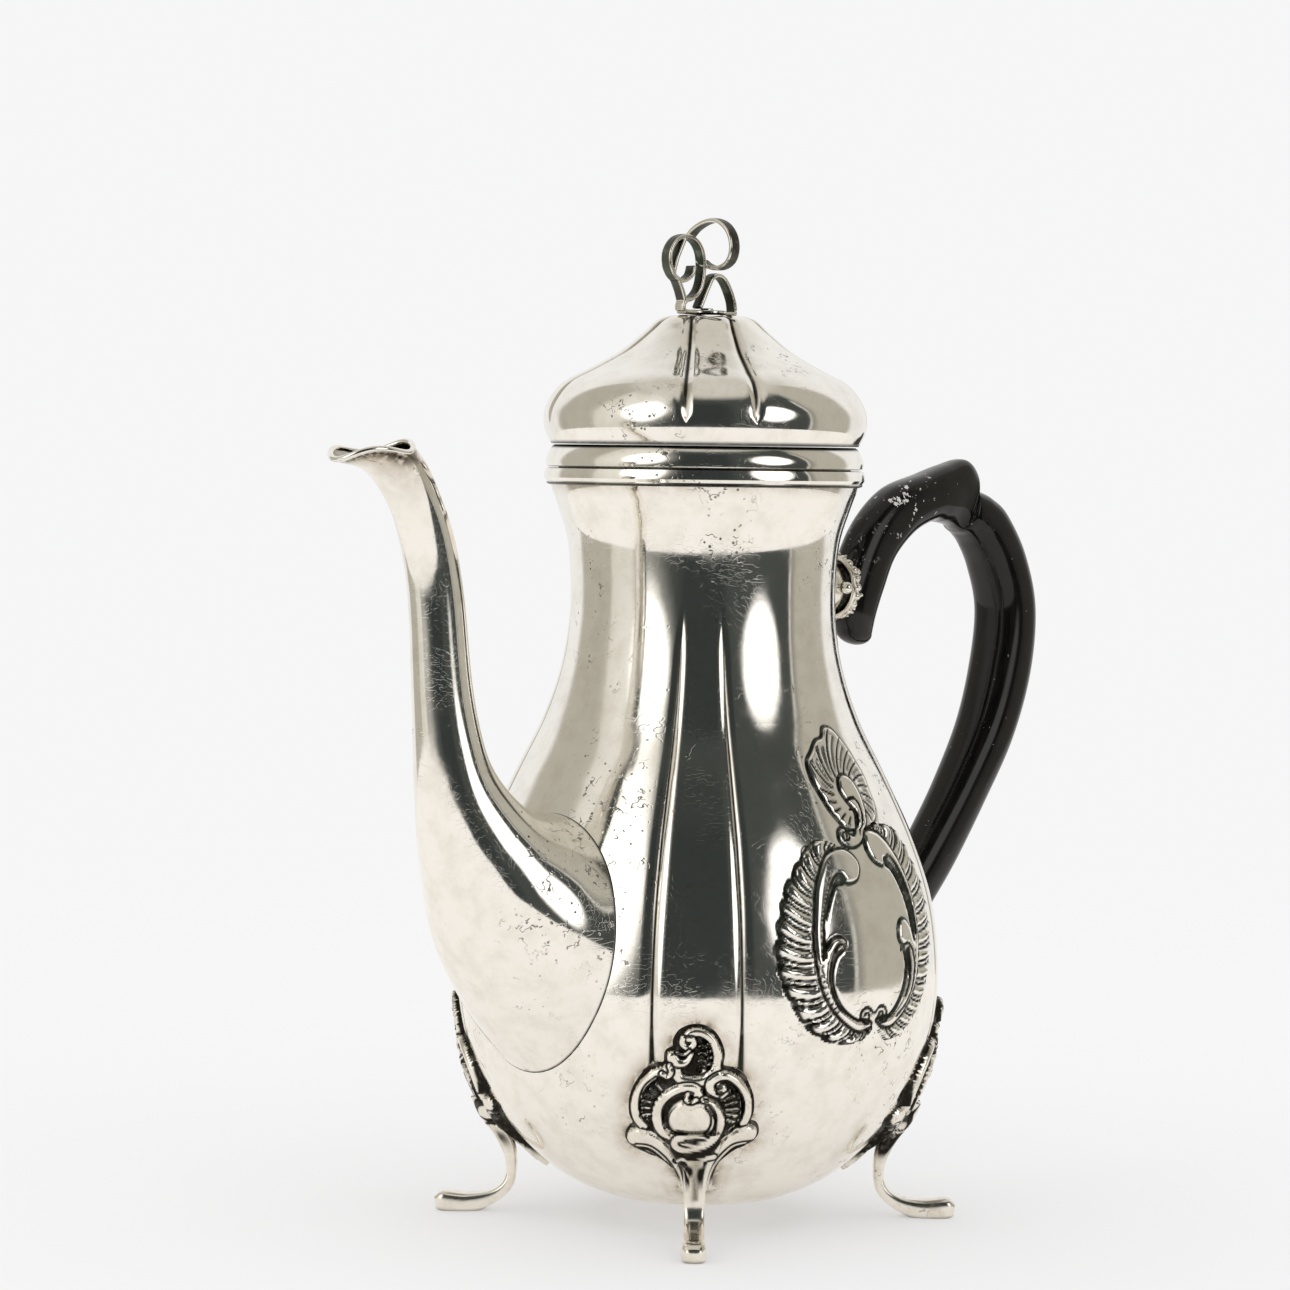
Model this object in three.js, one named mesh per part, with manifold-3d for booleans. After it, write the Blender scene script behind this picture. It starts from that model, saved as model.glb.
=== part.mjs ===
// A silver coffee pot: pear-shaped body on four scroll legs, a long curved spout, an ebony handle
// pinned into two silver sockets, and a domed lid that lifts straight off.
// Millimetres, +Z up. The floor is z = 0 and the body's axis is the Z axis.
// +X points to the handle, -X to the spout, and the legs stand on the four diagonals.
import * as THREE from "three";
import { mergeVertices } from "three/addons/utils/BufferGeometryUtils.js";
import Module from "manifold-3d";

const wasm = await Module();
wasm.setup();

// ---- Driving dimensions ----

const GAP = 0.3; // clearance between pieces that are soldered or rest on each other
const WALL = 1.2; // sheet thickness of the body and the spout
const LID_WALL = 1.0;
const FACETS = 36; // facets round every large turned piece
const DIAGONAL = Math.PI / 4;
const AWAY = 500; // longer than the object, for cutting blocks
const SLIVER = 0.004; // detail smaller than this is only rounding

// Outside of the body, [radius, height], from the edge of the base plate up to the mouth.
const BODY_OUTLINE = [
  [23, 6.4], [30.2, 9.2], [38, 14.2], [48.4, 24.6], [55.6, 37], [59.6, 51], [60.3, 65], [58.3, 81],
  [53.3, 96.5], [46.2, 112], [39.3, 126], [35, 139.4], [33.2, 153], [33.9, 168.5], [36.6, 178],
  [38.3, 183], [38.5, 187.2],
];
const BASE_PLATE_R = 23;
const BASE_PLATE_Z = [6, 7.8];

// Band round the mouth, outside the body's edge.
const MOUTH_BAND = [[38.8, 183.4], [39.6, 184.4], [40.1, 186.1], [39.9, 187.5], [38.8, 187.5]];

// Strainer: a hexagonal patch of holes in the body wall behind the spout.
const STRAINER_Z = 72;
const STRAINER_PITCH = 7;
const STRAINER_RINGS = 2;
const STRAINER_HOLE_R = 1.6;

// Spout, as it would stand on the +X side: [outer x, outer z, inner x, inner z, half-width].
const SPOUT_STATIONS = [
  [46, 33, 40, 106, 28], [58, 42, 48, 104, 26], [70, 55.5, 57, 104.5, 23.5],
  [79.3, 69.5, 64.5, 107.2, 19.5], [85.5, 85, 70.6, 112.6, 14.8], [89.5, 99, 75, 119, 11.2],
  [91.8, 113, 77.6, 127, 9], [93.6, 132, 79.6, 138, 7.4], [95.4, 156, 82, 157, 6.7],
  [98.3, 170, 85.3, 171, 6.6], [102.6, 179.5, 89.8, 181, 6.6], [109.5, 186.4, 94.4, 188.4, 7.4],
  [119.9, 189.6, 98, 192.6, 8.8],
];
const SPOUT_WAVE = 1.5; // height of the three waves round the mouth's edge
const LIP_WIRE_R = 0.75;
const LIP_RAISE = 1.1; // from the spout's cut edge up to the middle of the wire

// Handle: [outer x, outer z, inner x, inner z, half-width], from the lower socket up and over to
// the tail that hangs below the upper socket. A leaf for the thumb stands proud of the top.
const HANDLE_STATIONS = [
  [83.5, 72, 73.5, 81, 6.2], [92.5, 82.5, 82, 92, 6.6], [103.6, 98, 92, 105.5, 7],
  [114.5, 115, 101.5, 121.5, 7.6], [121.3, 133, 106.8, 137.5, 8], [123.4, 151, 108.4, 151, 8],
  [119.8, 166.5, 104.8, 161.5, 7.7], [111.2, 178.4, 100.2, 168, 7.2], [104.4, 184.2, 97, 170.6, 6.9],
  [101.6, 189.2, 93.6, 172.4, 6.8], [92.4, 189.8, 88.8, 174, 6.7], [82, 187.6, 83.4, 174.4, 6.5],
  [67.6, 183, 75.4, 171.2, 6.2], [56.8, 173.6, 68, 164.6, 6], [50.2, 161, 64, 156.6, 5.8],
  [48.8, 150.4, 62.2, 148.6, 5.2], [51.6, 144.4, 59.8, 143, 3.4],
];

// Sockets: a cup on the body with a beaded ring round its mouth, as [radius, distance along].
const SOCKET_DEPTH = 17; // from the socket's start inside the body's wall to its mouth
const SOCKET_CUP = [[8.6, -8], [8.3, 4], [7.6, 9.6], [6.3, 13.8], [6.2, SOCKET_DEPTH]];
const SOCKET_BORE_R = 4.8;
const SOCKET_BORE_START = 5;
const TENON_R = 4.5;
const BEAD_RING_R = 7.4;
const BEAD_WIRE_R = 0.9;
const UPPER_SOCKET = { x: 32.6, z: 157.6, tilt: 0 };
const LOWER_SOCKET = { x: 62.8, z: 60.6, tilt: 0.87 };
const PIN_R = 1;
const PIN_HEAD_R = 1.5;
const PIN_ALONG = 11.6;

// Leg strap: [outer x, outer z, inner x, inner z, half-width], from the toe up to the plaque.
const LEG_STRAP = [
  [65.6, 3.6, 65.2, 0.4, 2], [63.4, 5, 62.6, -0.6, 3.1], [57.6, 4.5, 56, -0.6, 2.8],
  [52, 5.2, 50, 2.2, 2.6], [48.6, 7.4, 46, 6, 2.6], [47.6, 11, 44.9, 10.6, 2.6],
  [48.6, 15.4, 45.2, 16.6, 2.8], [51, 19.8, 47.4, 22.4, 4], [54.4, 24.4, 50.2, 27, 6],
  [56.6, 29, 52.6, 30.4, 6],
];
// Half of the plaque's front view, [half-width, height], from its foot to its tip.
const PLAQUE_HALF = [
  [2.8, 15], [4.4, 19.4], [9, 23.6], [14.6, 27], [15.2, 30.6], [14, 33.6], [14, 38], [12.6, 42.4],
  [9.4, 45.6], [6.4, 46.4], [6.6, 50], [4.4, 53.4],
];
const PLAQUE_TOP = [0, 54.4];
const PLAQUE_THICK = 2.6;
const PLAQUE_BOSS = { z: 35.4, r: 5.6, rise: 5 };
const LEGS = {
  leg_front_spout_side: 5 * DIAGONAL,
  leg_front_handle_side: 7 * DIAGONAL,
  leg_back_handle_side: DIAGONAL,
  leg_back_spout_side: 3 * DIAGONAL,
};

// Lid: [radius, height]. The rim stands on the mouth band, and the bezel drops inside the mouth.
const LID_RIM = [
  [36.9, 187.8], [39.6, 187.8], [39.7, 189], [39.3, 191], [38.6, 192.3], [38.1, 193.3], [36.9, 193.3],
];
const LID_BEZEL = [[35, 180.5], [36.6, 187.6], [36.6, 193.3], [35.6, 193.3], [35.6, 187.8], [34, 180.5]];
const LID_OUTLINE = [
  [38.4, 193.6], [40.3, 197.6], [39.9, 203], [36, 208.6], [29, 212.5], [21.6, 216.8], [16, 221.4],
  [12.4, 224.7], [9.2, 225.8],
];
const LID_TOP_Z = 226;

// Finial: a round plate, a threaded stud with its nut inside the lid, and scrolls of flat ribbon.
const FINIAL_PLATE = { r: 9, z: [226.3, 227.2] };
const STUD_R = 1.3;
const STUD_Z = [220.6, 228];
const STEM_R = 1.7;
const STEM_Z = [227.6, 237];
const NUT = { r: 3.4, z: [221.6, 224.6] };
const RIBBON = { width: 3.2, thick: 1 };
const SPOUT_SIDE_SCROLL = 3.23; // azimuths, radians
const BACK_SCROLL = 2.0;
const TOP_RING = -0.87;
const FOOT_AZIMUTHS = [-0.87, 3.32, 1.22];

// ---- Materials ----

const silver = new THREE.MeshStandardMaterial({ color: 0xd8d3c8, roughness: 0.16, metalness: 1 });
const castSilver = new THREE.MeshStandardMaterial({ color: 0xbdb5a2, roughness: 0.28, metalness: 1 });
const ebony = new THREE.MeshStandardMaterial({ color: 0x0b0a0a, roughness: 0.22, metalness: 0 });

// ---- Solids ----

// A closed geometry as a manifold-3d solid.
function solid(geometry) {
  const bare = geometry.index ? geometry.toNonIndexed() : geometry.clone();
  bare.deleteAttribute("normal");
  bare.deleteAttribute("uv");
  const merged = mergeVertices(bare, 1e-4);
  const vertProperties = merged.attributes.position.array;
  const triVerts = new Uint32Array(merged.index.array);
  return new wasm.Manifold(new wasm.Mesh({ numProp: 3, vertProperties, triVerts }));
}

// The smallest slivers that a cut leaves are merged away.
function geometryOf(body) {
  const { vertProperties, triVerts } = body.simplify(SLIVER).getMesh();
  const geometry = new THREE.BufferGeometry();
  geometry.setAttribute("position", new THREE.BufferAttribute(vertProperties, 3));
  geometry.setIndex(new THREE.BufferAttribute(triVerts, 1));
  geometry.computeVertexNormals();
  return geometry;
}

function joined(bodies) {
  return bodies.reduce((whole, next) => whole.add(next));
}

// ---- Outlines ----

const vectors = (points) => points.map(([x, y]) => new THREE.Vector2(x, y));
const curved = (points, count) => new THREE.SplineCurve(vectors(points)).getPoints(count);

// An outline moved outwards by a distance, along its own normals. It runs upwards.
function offset(outline, distance) {
  return outline.map((point, i) => {
    const before = outline[Math.max(i - 1, 0)];
    const after = outline[Math.min(i + 1, outline.length - 1)];
    const along = after.clone().sub(before).normalize();
    return new THREE.Vector2(point.x + along.y * distance, point.y - along.x * distance);
  });
}

// A turned piece: a closed outline spun about Z. Both ends on the axis close it as well.
function turned(outline, facets = FACETS) {
  const ring = outline.map((point) => point.clone());
  if (THREE.ShapeUtils.isClockWise(ring)) ring.reverse();
  const onAxis = ring[0].x === 0 && ring[ring.length - 1].x === 0;
  if (!onAxis) ring.push(ring[0].clone());
  return solid(new THREE.LatheGeometry(ring, facets).rotateX(Math.PI / 2));
}

// A shell of even thickness, from `inner` to `outer` millimetres off an outline.
function shell(outline, inner, outer) {
  return turned([...offset(outline, outer), ...offset(outline, inner).reverse()]);
}

// Everything inside an outline moved outwards by a distance: the cutter for what stands on it.
function filled(outline, distance) {
  const edge = offset(outline, distance);
  const bottom = new THREE.Vector2(0, edge[0].y);
  const top = new THREE.Vector2(0, edge[edge.length - 1].y);
  return turned([bottom, ...edge, top]);
}

// ---- Lofts in the XZ plane ----

// A piece lofted through stations of [outer x, outer z, inner x, inner z, half-width]. The skin is
// thinned by `inset`, `square` above 1 squares the section up, and `shift` moves points at the end.
function lofted(stations, { sides, steps, inset = 0, square = 1, shift = () => 0 }) {
  const outer = new THREE.SplineCurve(vectors(stations.map((s) => [s[0], s[1]])));
  const inner = new THREE.SplineCurve(vectors(stations.map((s) => [s[2], s[3]])));
  const widths = new THREE.SplineCurve(vectors(stations.map((s, i) => [i, s[4]])));
  const rod = new THREE.CylinderGeometry(1, 1, 1, sides, steps);
  const place = rod.attributes.position;
  for (let i = 0; i < place.count; i++) {
    const along = THREE.MathUtils.clamp(place.getY(i) + 0.5, 0, 1);
    const front = outer.getPoint(along);
    const back = inner.getPoint(along);
    const middle = front.clone().add(back).multiplyScalar(0.5);
    const half = front.clone().sub(back).multiplyScalar(0.5);
    half.setLength(half.length() - inset);
    const across = Math.sign(place.getX(i)) * Math.abs(place.getX(i)) ** (1 / square);
    const aside = Math.sign(place.getZ(i)) * Math.abs(place.getZ(i)) ** (1 / square);
    const spot = middle.addScaledVector(half, across);
    const raise = shift(along, Math.atan2(place.getZ(i), place.getX(i)));
    place.setXYZ(i, spot.x, -aside * (widths.getPoint(along).y - inset), spot.y + raise);
  }
  return solid(rod);
}

// ---- Body, base plate and mouth band ----

const bodyOutline = curved(BODY_OUTLINE, 17);

function strainerHoles() {
  const holes = [];
  for (let row = -STRAINER_RINGS; row <= STRAINER_RINGS; row++) {
    const inRow = 2 * STRAINER_RINGS + 1 - Math.abs(row);
    for (let i = 0; i < inRow; i++) {
      const y = (i - (inRow - 1) / 2) * STRAINER_PITCH;
      const z = STRAINER_Z + row * STRAINER_PITCH * Math.sin(Math.PI / 3);
      const drill = new THREE.CylinderGeometry(STRAINER_HOLE_R, STRAINER_HOLE_R, 30, 6);
      holes.push(solid(drill.rotateZ(Math.PI / 2).translate(-58, y, z)));
    }
  }
  return joined(holes);
}

const bodyShell = shell(bodyOutline, -WALL, 0).subtract(strainerHoles());
const basePlate = turned(vectors([
  [0, BASE_PLATE_Z[0]],
  [BASE_PLATE_R - 1, BASE_PLATE_Z[0]],
  [BASE_PLATE_R - 1, BASE_PLATE_Z[1]],
  [0, BASE_PLATE_Z[1]],
]));
const mouthBand = turned(vectors(MOUTH_BAND));

// ---- Spout ----

// The mouth's edge rises and falls three times round, and only near the mouth.
function spoutWave(along, angle) {
  const nearMouth = THREE.MathUtils.smoothstep(along, 0.9, 1);
  return -SPOUT_WAVE * Math.cos(3 * angle) * nearMouth;
}

function spoutBodies() {
  const keepOut = filled(bodyOutline, GAP);
  const outside = lofted(SPOUT_STATIONS, { sides: 16, steps: 16, shift: spoutWave });
  const inside = lofted(SPOUT_STATIONS, { sides: 16, steps: 16, inset: WALL, shift: spoutWave });
  const reach = lofted(SPOUT_STATIONS.slice(-2).map((s, i) => raised(s, i * 3)), {
    sides: 16, steps: 2, inset: WALL, shift: (along, angle) => spoutWave(1, angle) * along,
  });
  return outside.subtract(keepOut).subtract(inside).subtract(reach);
}

const raised = ([ox, oz, ix, iz, half], by) => [ox, oz + by, ix, iz + by, half];

// The rolled wire that edges the spout's mouth, a torus laid along the wavy edge.
function lipWire() {
  const [outerX, outerZ, innerX, innerZ, half] = SPOUT_STATIONS[SPOUT_STATIONS.length - 1];
  const wire = new THREE.TorusGeometry(1, 0.1, 6, 32);
  const place = wire.attributes.position;
  for (let i = 0; i < place.count; i++) {
    const angle = Math.atan2(place.getY(i), place.getX(i));
    const radial = (Math.hypot(place.getX(i), place.getY(i)) - 1) * 10 * LIP_WIRE_R;
    const across = Math.cos(angle);
    const x = (outerX + innerX) / 2 + across * ((outerX - innerX) / 2 - WALL / 2 + radial);
    const y = Math.sin(angle) * (half - WALL / 2 + radial);
    const z = (outerZ + innerZ) / 2 + (across * (outerZ - innerZ)) / 2 + spoutWave(1, angle);
    place.setXYZ(i, x, y, z + LIP_RAISE + place.getZ(i) * 10 * LIP_WIRE_R);
  }
  return solid(wire);
}

// ---- Sockets, pins and handle ----

// Turns a piece built along +Z from the origin to lie along a socket's own axis.
function alongSocket(body, { x, z, tilt }) {
  return body.rotate([0, 90 - THREE.MathUtils.radToDeg(tilt), 0]).translate([x, 0, z]);
}

function rod(radius, low, high, facets) {
  const cylinder = new THREE.CylinderGeometry(radius, radius, high - low, facets);
  return solid(cylinder.rotateX(Math.PI / 2).translate(0, 0, (low + high) / 2));
}

function pinHole(radius) {
  return rod(radius, -AWAY, AWAY, 8).rotate([90, 0, 0]).translate([0, 0, PIN_ALONG]);
}

function socketCup(socket) {
  const outside = curved(SOCKET_CUP, 4);
  const mouth = outside[outside.length - 1];
  const cup = turned([
    new THREE.Vector2(0, outside[0].y), ...outside, new THREE.Vector2(SOCKET_BORE_R, mouth.y),
    new THREE.Vector2(SOCKET_BORE_R, SOCKET_BORE_START), new THREE.Vector2(0, SOCKET_BORE_START),
  ], 16);
  const drilled = cup.subtract(pinHole(PIN_R + GAP));
  return alongSocket(drilled, socket).subtract(filled(bodyOutline, GAP));
}

function beadRing(socket) {
  const ring = new THREE.TorusGeometry(BEAD_RING_R, BEAD_WIRE_R, 6, 20);
  return alongSocket(solid(ring.translate(0, 0, SOCKET_DEPTH - BEAD_WIRE_R)), socket);
}

function tenon(socket) {
  return alongSocket(rod(TENON_R, SOCKET_BORE_START + GAP, 23, 16), socket);
}

function pin(socket) {
  const length = SOCKET_CUP[2][0] + 0.4;
  const shank = rod(PIN_R, -length, length, 8);
  const head = solid(new THREE.SphereGeometry(PIN_HEAD_R, 8, 6)).translate([0, 0, length]);
  const lower = solid(new THREE.SphereGeometry(PIN_HEAD_R, 8, 6)).translate([0, 0, -length]);
  const whole = shank.add(head).add(lower).rotate([90, 0, 0]).translate([0, 0, PIN_ALONG]);
  return alongSocket(whole, socket);
}

function handleBody() {
  const loop = lofted(HANDLE_STATIONS, { sides: 12, steps: 26, square: 1.12 });
  const cutBack = (socket) => alongSocket(rod(BEAD_RING_R + 3, -9, SOCKET_DEPTH + GAP, 24), socket);
  const upper = tenon(UPPER_SOCKET);
  const lower = tenon(LOWER_SOCKET);
  return loop
    .subtract(cutBack(UPPER_SOCKET))
    .subtract(cutBack(LOWER_SOCKET))
    .add(upper)
    .add(lower)
    .subtract(alongSocket(pinHole(PIN_R + GAP), UPPER_SOCKET))
    .subtract(alongSocket(pinHole(PIN_R + GAP), LOWER_SOCKET));
}

// ---- Legs ----

// The plaque is its front view pushed through a skin that follows the body, with a domed boss.
function plaque() {
  const half = vectors(PLAQUE_HALF);
  const mirrored = half.map((point) => new THREE.Vector2(-point.x, point.y)).reverse();
  const front = new THREE.Shape([...half, new THREE.Vector2(...PLAQUE_TOP), ...mirrored]);
  const prism = new THREE.ExtrudeGeometry(front, { depth: 80, bevelEnabled: false });
  prism.rotateX(Math.PI / 2).rotateZ(Math.PI / 2);
  const skin = shell(bodyOutline, GAP, GAP + PLAQUE_THICK).rotate([0, 0, 45]);
  return solid(prism).intersect(skin);
}

function leg() {
  const strap = lofted(LEG_STRAP, { sides: 8, steps: 14, square: 1.7 });
  const { z, r, rise } = PLAQUE_BOSS;
  const surface = bodyOutline.reduce((a, b) => (Math.abs(b.y - z) < Math.abs(a.y - z) ? b : a)).x;
  const dome = new THREE.SphereGeometry(1, 12, 8).scale(rise, r, r).translate(surface, 0, z);
  const floor = solid(new THREE.BoxGeometry(AWAY, AWAY, AWAY).translate(0, 0, -AWAY / 2));
  const keepOut = filled(bodyOutline, GAP).rotate([0, 0, 45]);
  return joined([plaque(), solid(dome), strap]).subtract(floor).subtract(keepOut);
}

// ---- Lid ----

const lidOutline = curved(LID_OUTLINE, 10);

function lidDome() {
  const inside = offset(lidOutline, -LID_WALL).reverse();
  inside[0].y = LID_TOP_Z - LID_WALL;
  const edge = new THREE.Vector2(STUD_R + GAP, LID_TOP_Z);
  const edgeInside = new THREE.Vector2(STUD_R + GAP, LID_TOP_Z - LID_WALL);
  return turned([...lidOutline, edge, edgeInside, ...inside]);
}

// ---- Finial ----

// A flat ribbon through [out, up] points in the vertical plane at an azimuth.
function ribbon(points, azimuth, steps = 28) {
  const middle = curved(points, steps);
  const outline = [...offset(middle, RIBBON.thick / 2), ...offset(middle, -RIBBON.thick / 2).reverse()];
  const strip = new THREE.ExtrudeGeometry(new THREE.Shape(outline), {
    depth: RIBBON.width, bevelEnabled: false,
  });
  strip.translate(0, 0, -RIBBON.width / 2).rotateX(Math.PI / 2).rotateZ(azimuth);
  return solid(strip);
}

// Points round a spiral from angle `from` to `to` (degrees), its radius going from `start` to `end`.
function spiral([x, z], start, end, from, to) {
  const count = 12;
  return Array.from({ length: count + 1 }, (_, i) => {
    const angle = THREE.MathUtils.degToRad(THREE.MathUtils.lerp(from, to, i / count));
    const radius = THREE.MathUtils.lerp(start, end, i / count);
    return [x + radius * Math.cos(angle), z + radius * Math.sin(angle)];
  });
}

function finialScrolls() {
  const stem = rod(STEM_R, ...STEM_Z, 12);
  const inward = ribbon(
    [[1, 228.5], [2, 233], ...spiral([7.4, 239.6], 5.6, 3, 180, -190)], SPOUT_SIDE_SCROLL, 26,
  );
  const outward = ribbon(
    [[1, 228.5], [5, 231], ...spiral([7.4, 239.4], 5.6, 4.4, -60, 220)], BACK_SCROLL, 22,
  );
  const top = ribbon(
    [[-0.4, 229], [-2.4, 234], ...spiral([1.2, 243.6], 6.4, 5.2, 195, -90)], TOP_RING, 24,
  );
  const feet = FOOT_AZIMUTHS.map((azimuth) => ribbon(
    [[0.4, 231], [2, 233.6], [4.4, 235.2], [6.6, 233.4], [7.6, 230], [7.8, 227.7]], azimuth, 9,
  ));
  return joined([stem, inward, outward, top, ...feet]);
}

const finialPlate = rod(FINIAL_PLATE.r, ...FINIAL_PLATE.z, 32)
  .subtract(rod(STUD_R + GAP, -AWAY, AWAY, 12));
const stud = rod(STUD_R, STUD_Z[0], STEM_Z[0] - GAP, 12);
const nut = rod(NUT.r, ...NUT.z, 6).subtract(rod(STUD_R + GAP, -AWAY, AWAY, 12));

// ---- Assembly ----

const pot = new THREE.Group();
const lid = new THREE.Group();
const object = new THREE.Group().add(pot, lid);

function place(group, name, body, material, azimuth = 0) {
  const mesh = new THREE.Mesh(geometryOf(body), material);
  mesh.name = name;
  mesh.rotation.z = azimuth;
  group.add(mesh);
}

place(pot, "body_shell", bodyShell, silver);
place(pot, "base_plate", basePlate, silver);
place(pot, "mouth_band", mouthBand, silver);
place(pot, "spout_shell", spoutBodies(), silver, Math.PI);
place(pot, "spout_lip_wire", lipWire(), silver, Math.PI);
for (const [name, azimuth] of Object.entries(LEGS)) place(pot, name, leg(), castSilver, azimuth);
for (const [name, socket] of Object.entries({ upper: UPPER_SOCKET, lower: LOWER_SOCKET })) {
  place(pot, name + "_socket", socketCup(socket), castSilver);
  place(pot, name + "_socket_beads", beadRing(socket), castSilver);
  place(pot, name + "_socket_pin", pin(socket), castSilver);
}
place(pot, "handle", handleBody(), ebony);
place(lid, "lid_dome", lidDome(), silver);
place(lid, "lid_rim", turned(vectors(LID_RIM)), silver);
place(lid, "lid_bezel", turned(vectors(LID_BEZEL)), silver);
place(lid, "finial_plate", finialPlate, castSilver);
place(lid, "finial_scrolls", finialScrolls(), castSilver);
place(lid, "finial_stud", stud, castSilver);
place(lid, "finial_nut", nut, castSilver);

export default object;
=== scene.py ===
"""The looks of a silver coffee pot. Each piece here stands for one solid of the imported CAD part.

Shapes are in millimetres. The camera, the floor and the materials are in metres, as Blender is.
+Z is up, +X points to the handle and -X to the spout.
"""

import math

import bmesh
import bpy
import numpy as np
from mathutils import Matrix, Vector


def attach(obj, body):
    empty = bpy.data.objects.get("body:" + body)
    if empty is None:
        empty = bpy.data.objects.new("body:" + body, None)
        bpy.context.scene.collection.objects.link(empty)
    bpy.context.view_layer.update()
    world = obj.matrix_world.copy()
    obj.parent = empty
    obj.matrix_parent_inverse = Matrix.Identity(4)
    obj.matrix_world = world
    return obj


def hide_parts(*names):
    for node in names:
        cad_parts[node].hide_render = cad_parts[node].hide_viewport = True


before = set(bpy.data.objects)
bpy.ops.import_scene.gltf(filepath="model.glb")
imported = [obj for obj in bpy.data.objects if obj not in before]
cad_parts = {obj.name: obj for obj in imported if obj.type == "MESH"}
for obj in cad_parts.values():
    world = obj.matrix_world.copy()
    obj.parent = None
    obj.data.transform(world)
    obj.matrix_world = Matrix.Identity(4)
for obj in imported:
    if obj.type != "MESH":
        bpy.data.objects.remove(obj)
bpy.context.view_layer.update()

MM = 0.001
WALL = 1.2
LID_WALL = 1.0

# ---- Outlines ----
# Most are the CAD part's. The edges of the base plate and the mouth band, the lid's rim, the stations
# of the spout and the handle, the wave at the spout's mouth and the finial's plate are refined here.

BODY_OUTLINE = [
    (23, 6.4), (30.2, 9.2), (38, 14.2), (48.4, 24.6), (55.6, 37), (59.6, 51), (60.3, 65), (58.3, 81),
    (53.3, 96.5), (46.2, 112), (39.3, 126), (35, 139.4), (33.2, 153), (33.9, 168.5), (36.6, 178),
    (38.3, 183), (38.5, 187.2),
]
BASE_PLATE = [(0, 6), (21.6, 6), (22, 6.3), (22, 7.5), (21.6, 7.8), (0, 7.8)]
MOUTH_BAND = [
    (38.8, 183.4), (39.5, 183.7), (39.5, 184.3), (40.1, 185.1), (40.1, 186.3), (39.8, 187.4),
    (38.8, 187.5),
]
SPOUT_STATIONS = [
    (46, 33, 40, 106, 28), (58, 42, 48, 104, 26), (70, 55.5, 57, 104.5, 23.5),
    (79.3, 69.5, 64.5, 107.2, 19.5), (85.5, 85, 70.6, 112.6, 14.8), (89.5, 99, 75, 119, 11.2),
    (91.8, 113, 77.6, 127, 9), (93.6, 132, 79.6, 138, 7.4), (95.4, 156, 82, 157, 6.7),
    (98.3, 170, 85.3, 171, 6.6), (102.6, 179.5, 89.8, 181, 6.6), (109.5, 186.4, 94.4, 188.4, 7.4),
    (119.9, 189.4, 98, 192, 8.8),
]
SPOUT_WAVE = 0.95
HANDLE_STATIONS = [
    (83.5, 72, 73.5, 81, 6.2), (92.5, 82.5, 82, 92, 6.6), (103.6, 98, 92, 105.5, 7),
    (114.5, 115, 101.5, 121.5, 7.6), (121.3, 133, 106.8, 137.5, 8), (123, 151, 108.4, 151, 8),
    (118.8, 165.8, 104.8, 161.5, 7.7), (111.4, 177, 100.6, 167.6, 7.2), (105.2, 181.2, 97.6, 170.4, 7),
    (99, 183.8, 95.5, 171.6, 6.6), (100.2, 188, 94, 172.4, 5.4), (96.6, 191, 91.4, 173.5, 5.6),
    (89.4, 189.6, 87.6, 174.2, 6.2), (81.4, 187.3, 83, 174.4, 6.5), (67.6, 183, 75.4, 171.2, 6.2),
    (56.8, 173.6, 68, 164.6, 6), (50.2, 161, 64, 156.6, 5.8), (49.2, 151.4, 61.4, 150.2, 5.2),
    (51, 146.4, 60.4, 145.2, 4.2),
]
HANDLE_END = 3.5
HANDLE_SQUARE = 1.28
SOCKET_CUP = [(8.6, -8), (8.3, 4), (7.6, 9.6), (6.3, 13.8), (6.2, 17)]
SOCKET_BORE_R = 4.8
SOCKET_BORE_START = 5
SOCKET_DEPTH = 17
TENON_R = 4.5
BEAD_RING_R = 7.4
BEAD_R = 1.18
BEAD_COUNT = 20
CRUMB_COUNT = 46
UPPER_SOCKET = (32.6, 157.6, 0)
LOWER_SOCKET = (62.8, 60.6, 0.87)
PIN_R = 1
PIN_ALONG = 11.6
CLEARANCE = 0.3
STRAINER_PITCH = 7
STRAINER_Z = 72
STRAINER_RINGS = 2
STRAINER_HOLE_R = 1.6
LEG_STRAP = [
    (65.6, 3.6, 65.2, 0.4, 2), (63.4, 5, 62.6, -0.6, 3.1), (57.6, 4.5, 56, -0.6, 2.8),
    (52, 5.2, 50, 2.2, 2.6), (48.6, 7.4, 46, 6, 2.6), (47.6, 11, 44.9, 10.6, 2.6),
    (48.6, 15.4, 45.2, 16.6, 2.8), (51, 19.8, 47.4, 22.4, 4), (54.4, 24.4, 50.2, 27, 6),
    (56.6, 29, 52.6, 30.4, 6),
]
LEG_SQUARE = 1.7
LEGS = {
    "leg_front_spout_side": 225,
    "leg_front_handle_side": 315,
    "leg_back_handle_side": 45,
    "leg_back_spout_side": 135,
}
LID_RIM = [
    (36.9, 187.8), (39.2, 187.8), (39.6, 188.1), (39.75, 189), (39.5, 190.4), (39.1, 191.4),
    (38.6, 192.3), (38.1, 193), (37.6, 193.3), (36.9, 193.3),
]
LID_BEZEL = [(35, 180.5), (36.6, 187.6), (36.6, 193.3), (35.6, 193.3), (35.6, 187.8), (34, 180.5)]
LID_OUTLINE = [
    (38.4, 193.6), (40.3, 197.6), (39.9, 203), (36, 208.6), (29, 212.5), (21.6, 216.8), (16, 221.4),
    (12.4, 224.7), (9.2, 225.8),
]
LID_TOP_Z = 226
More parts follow.
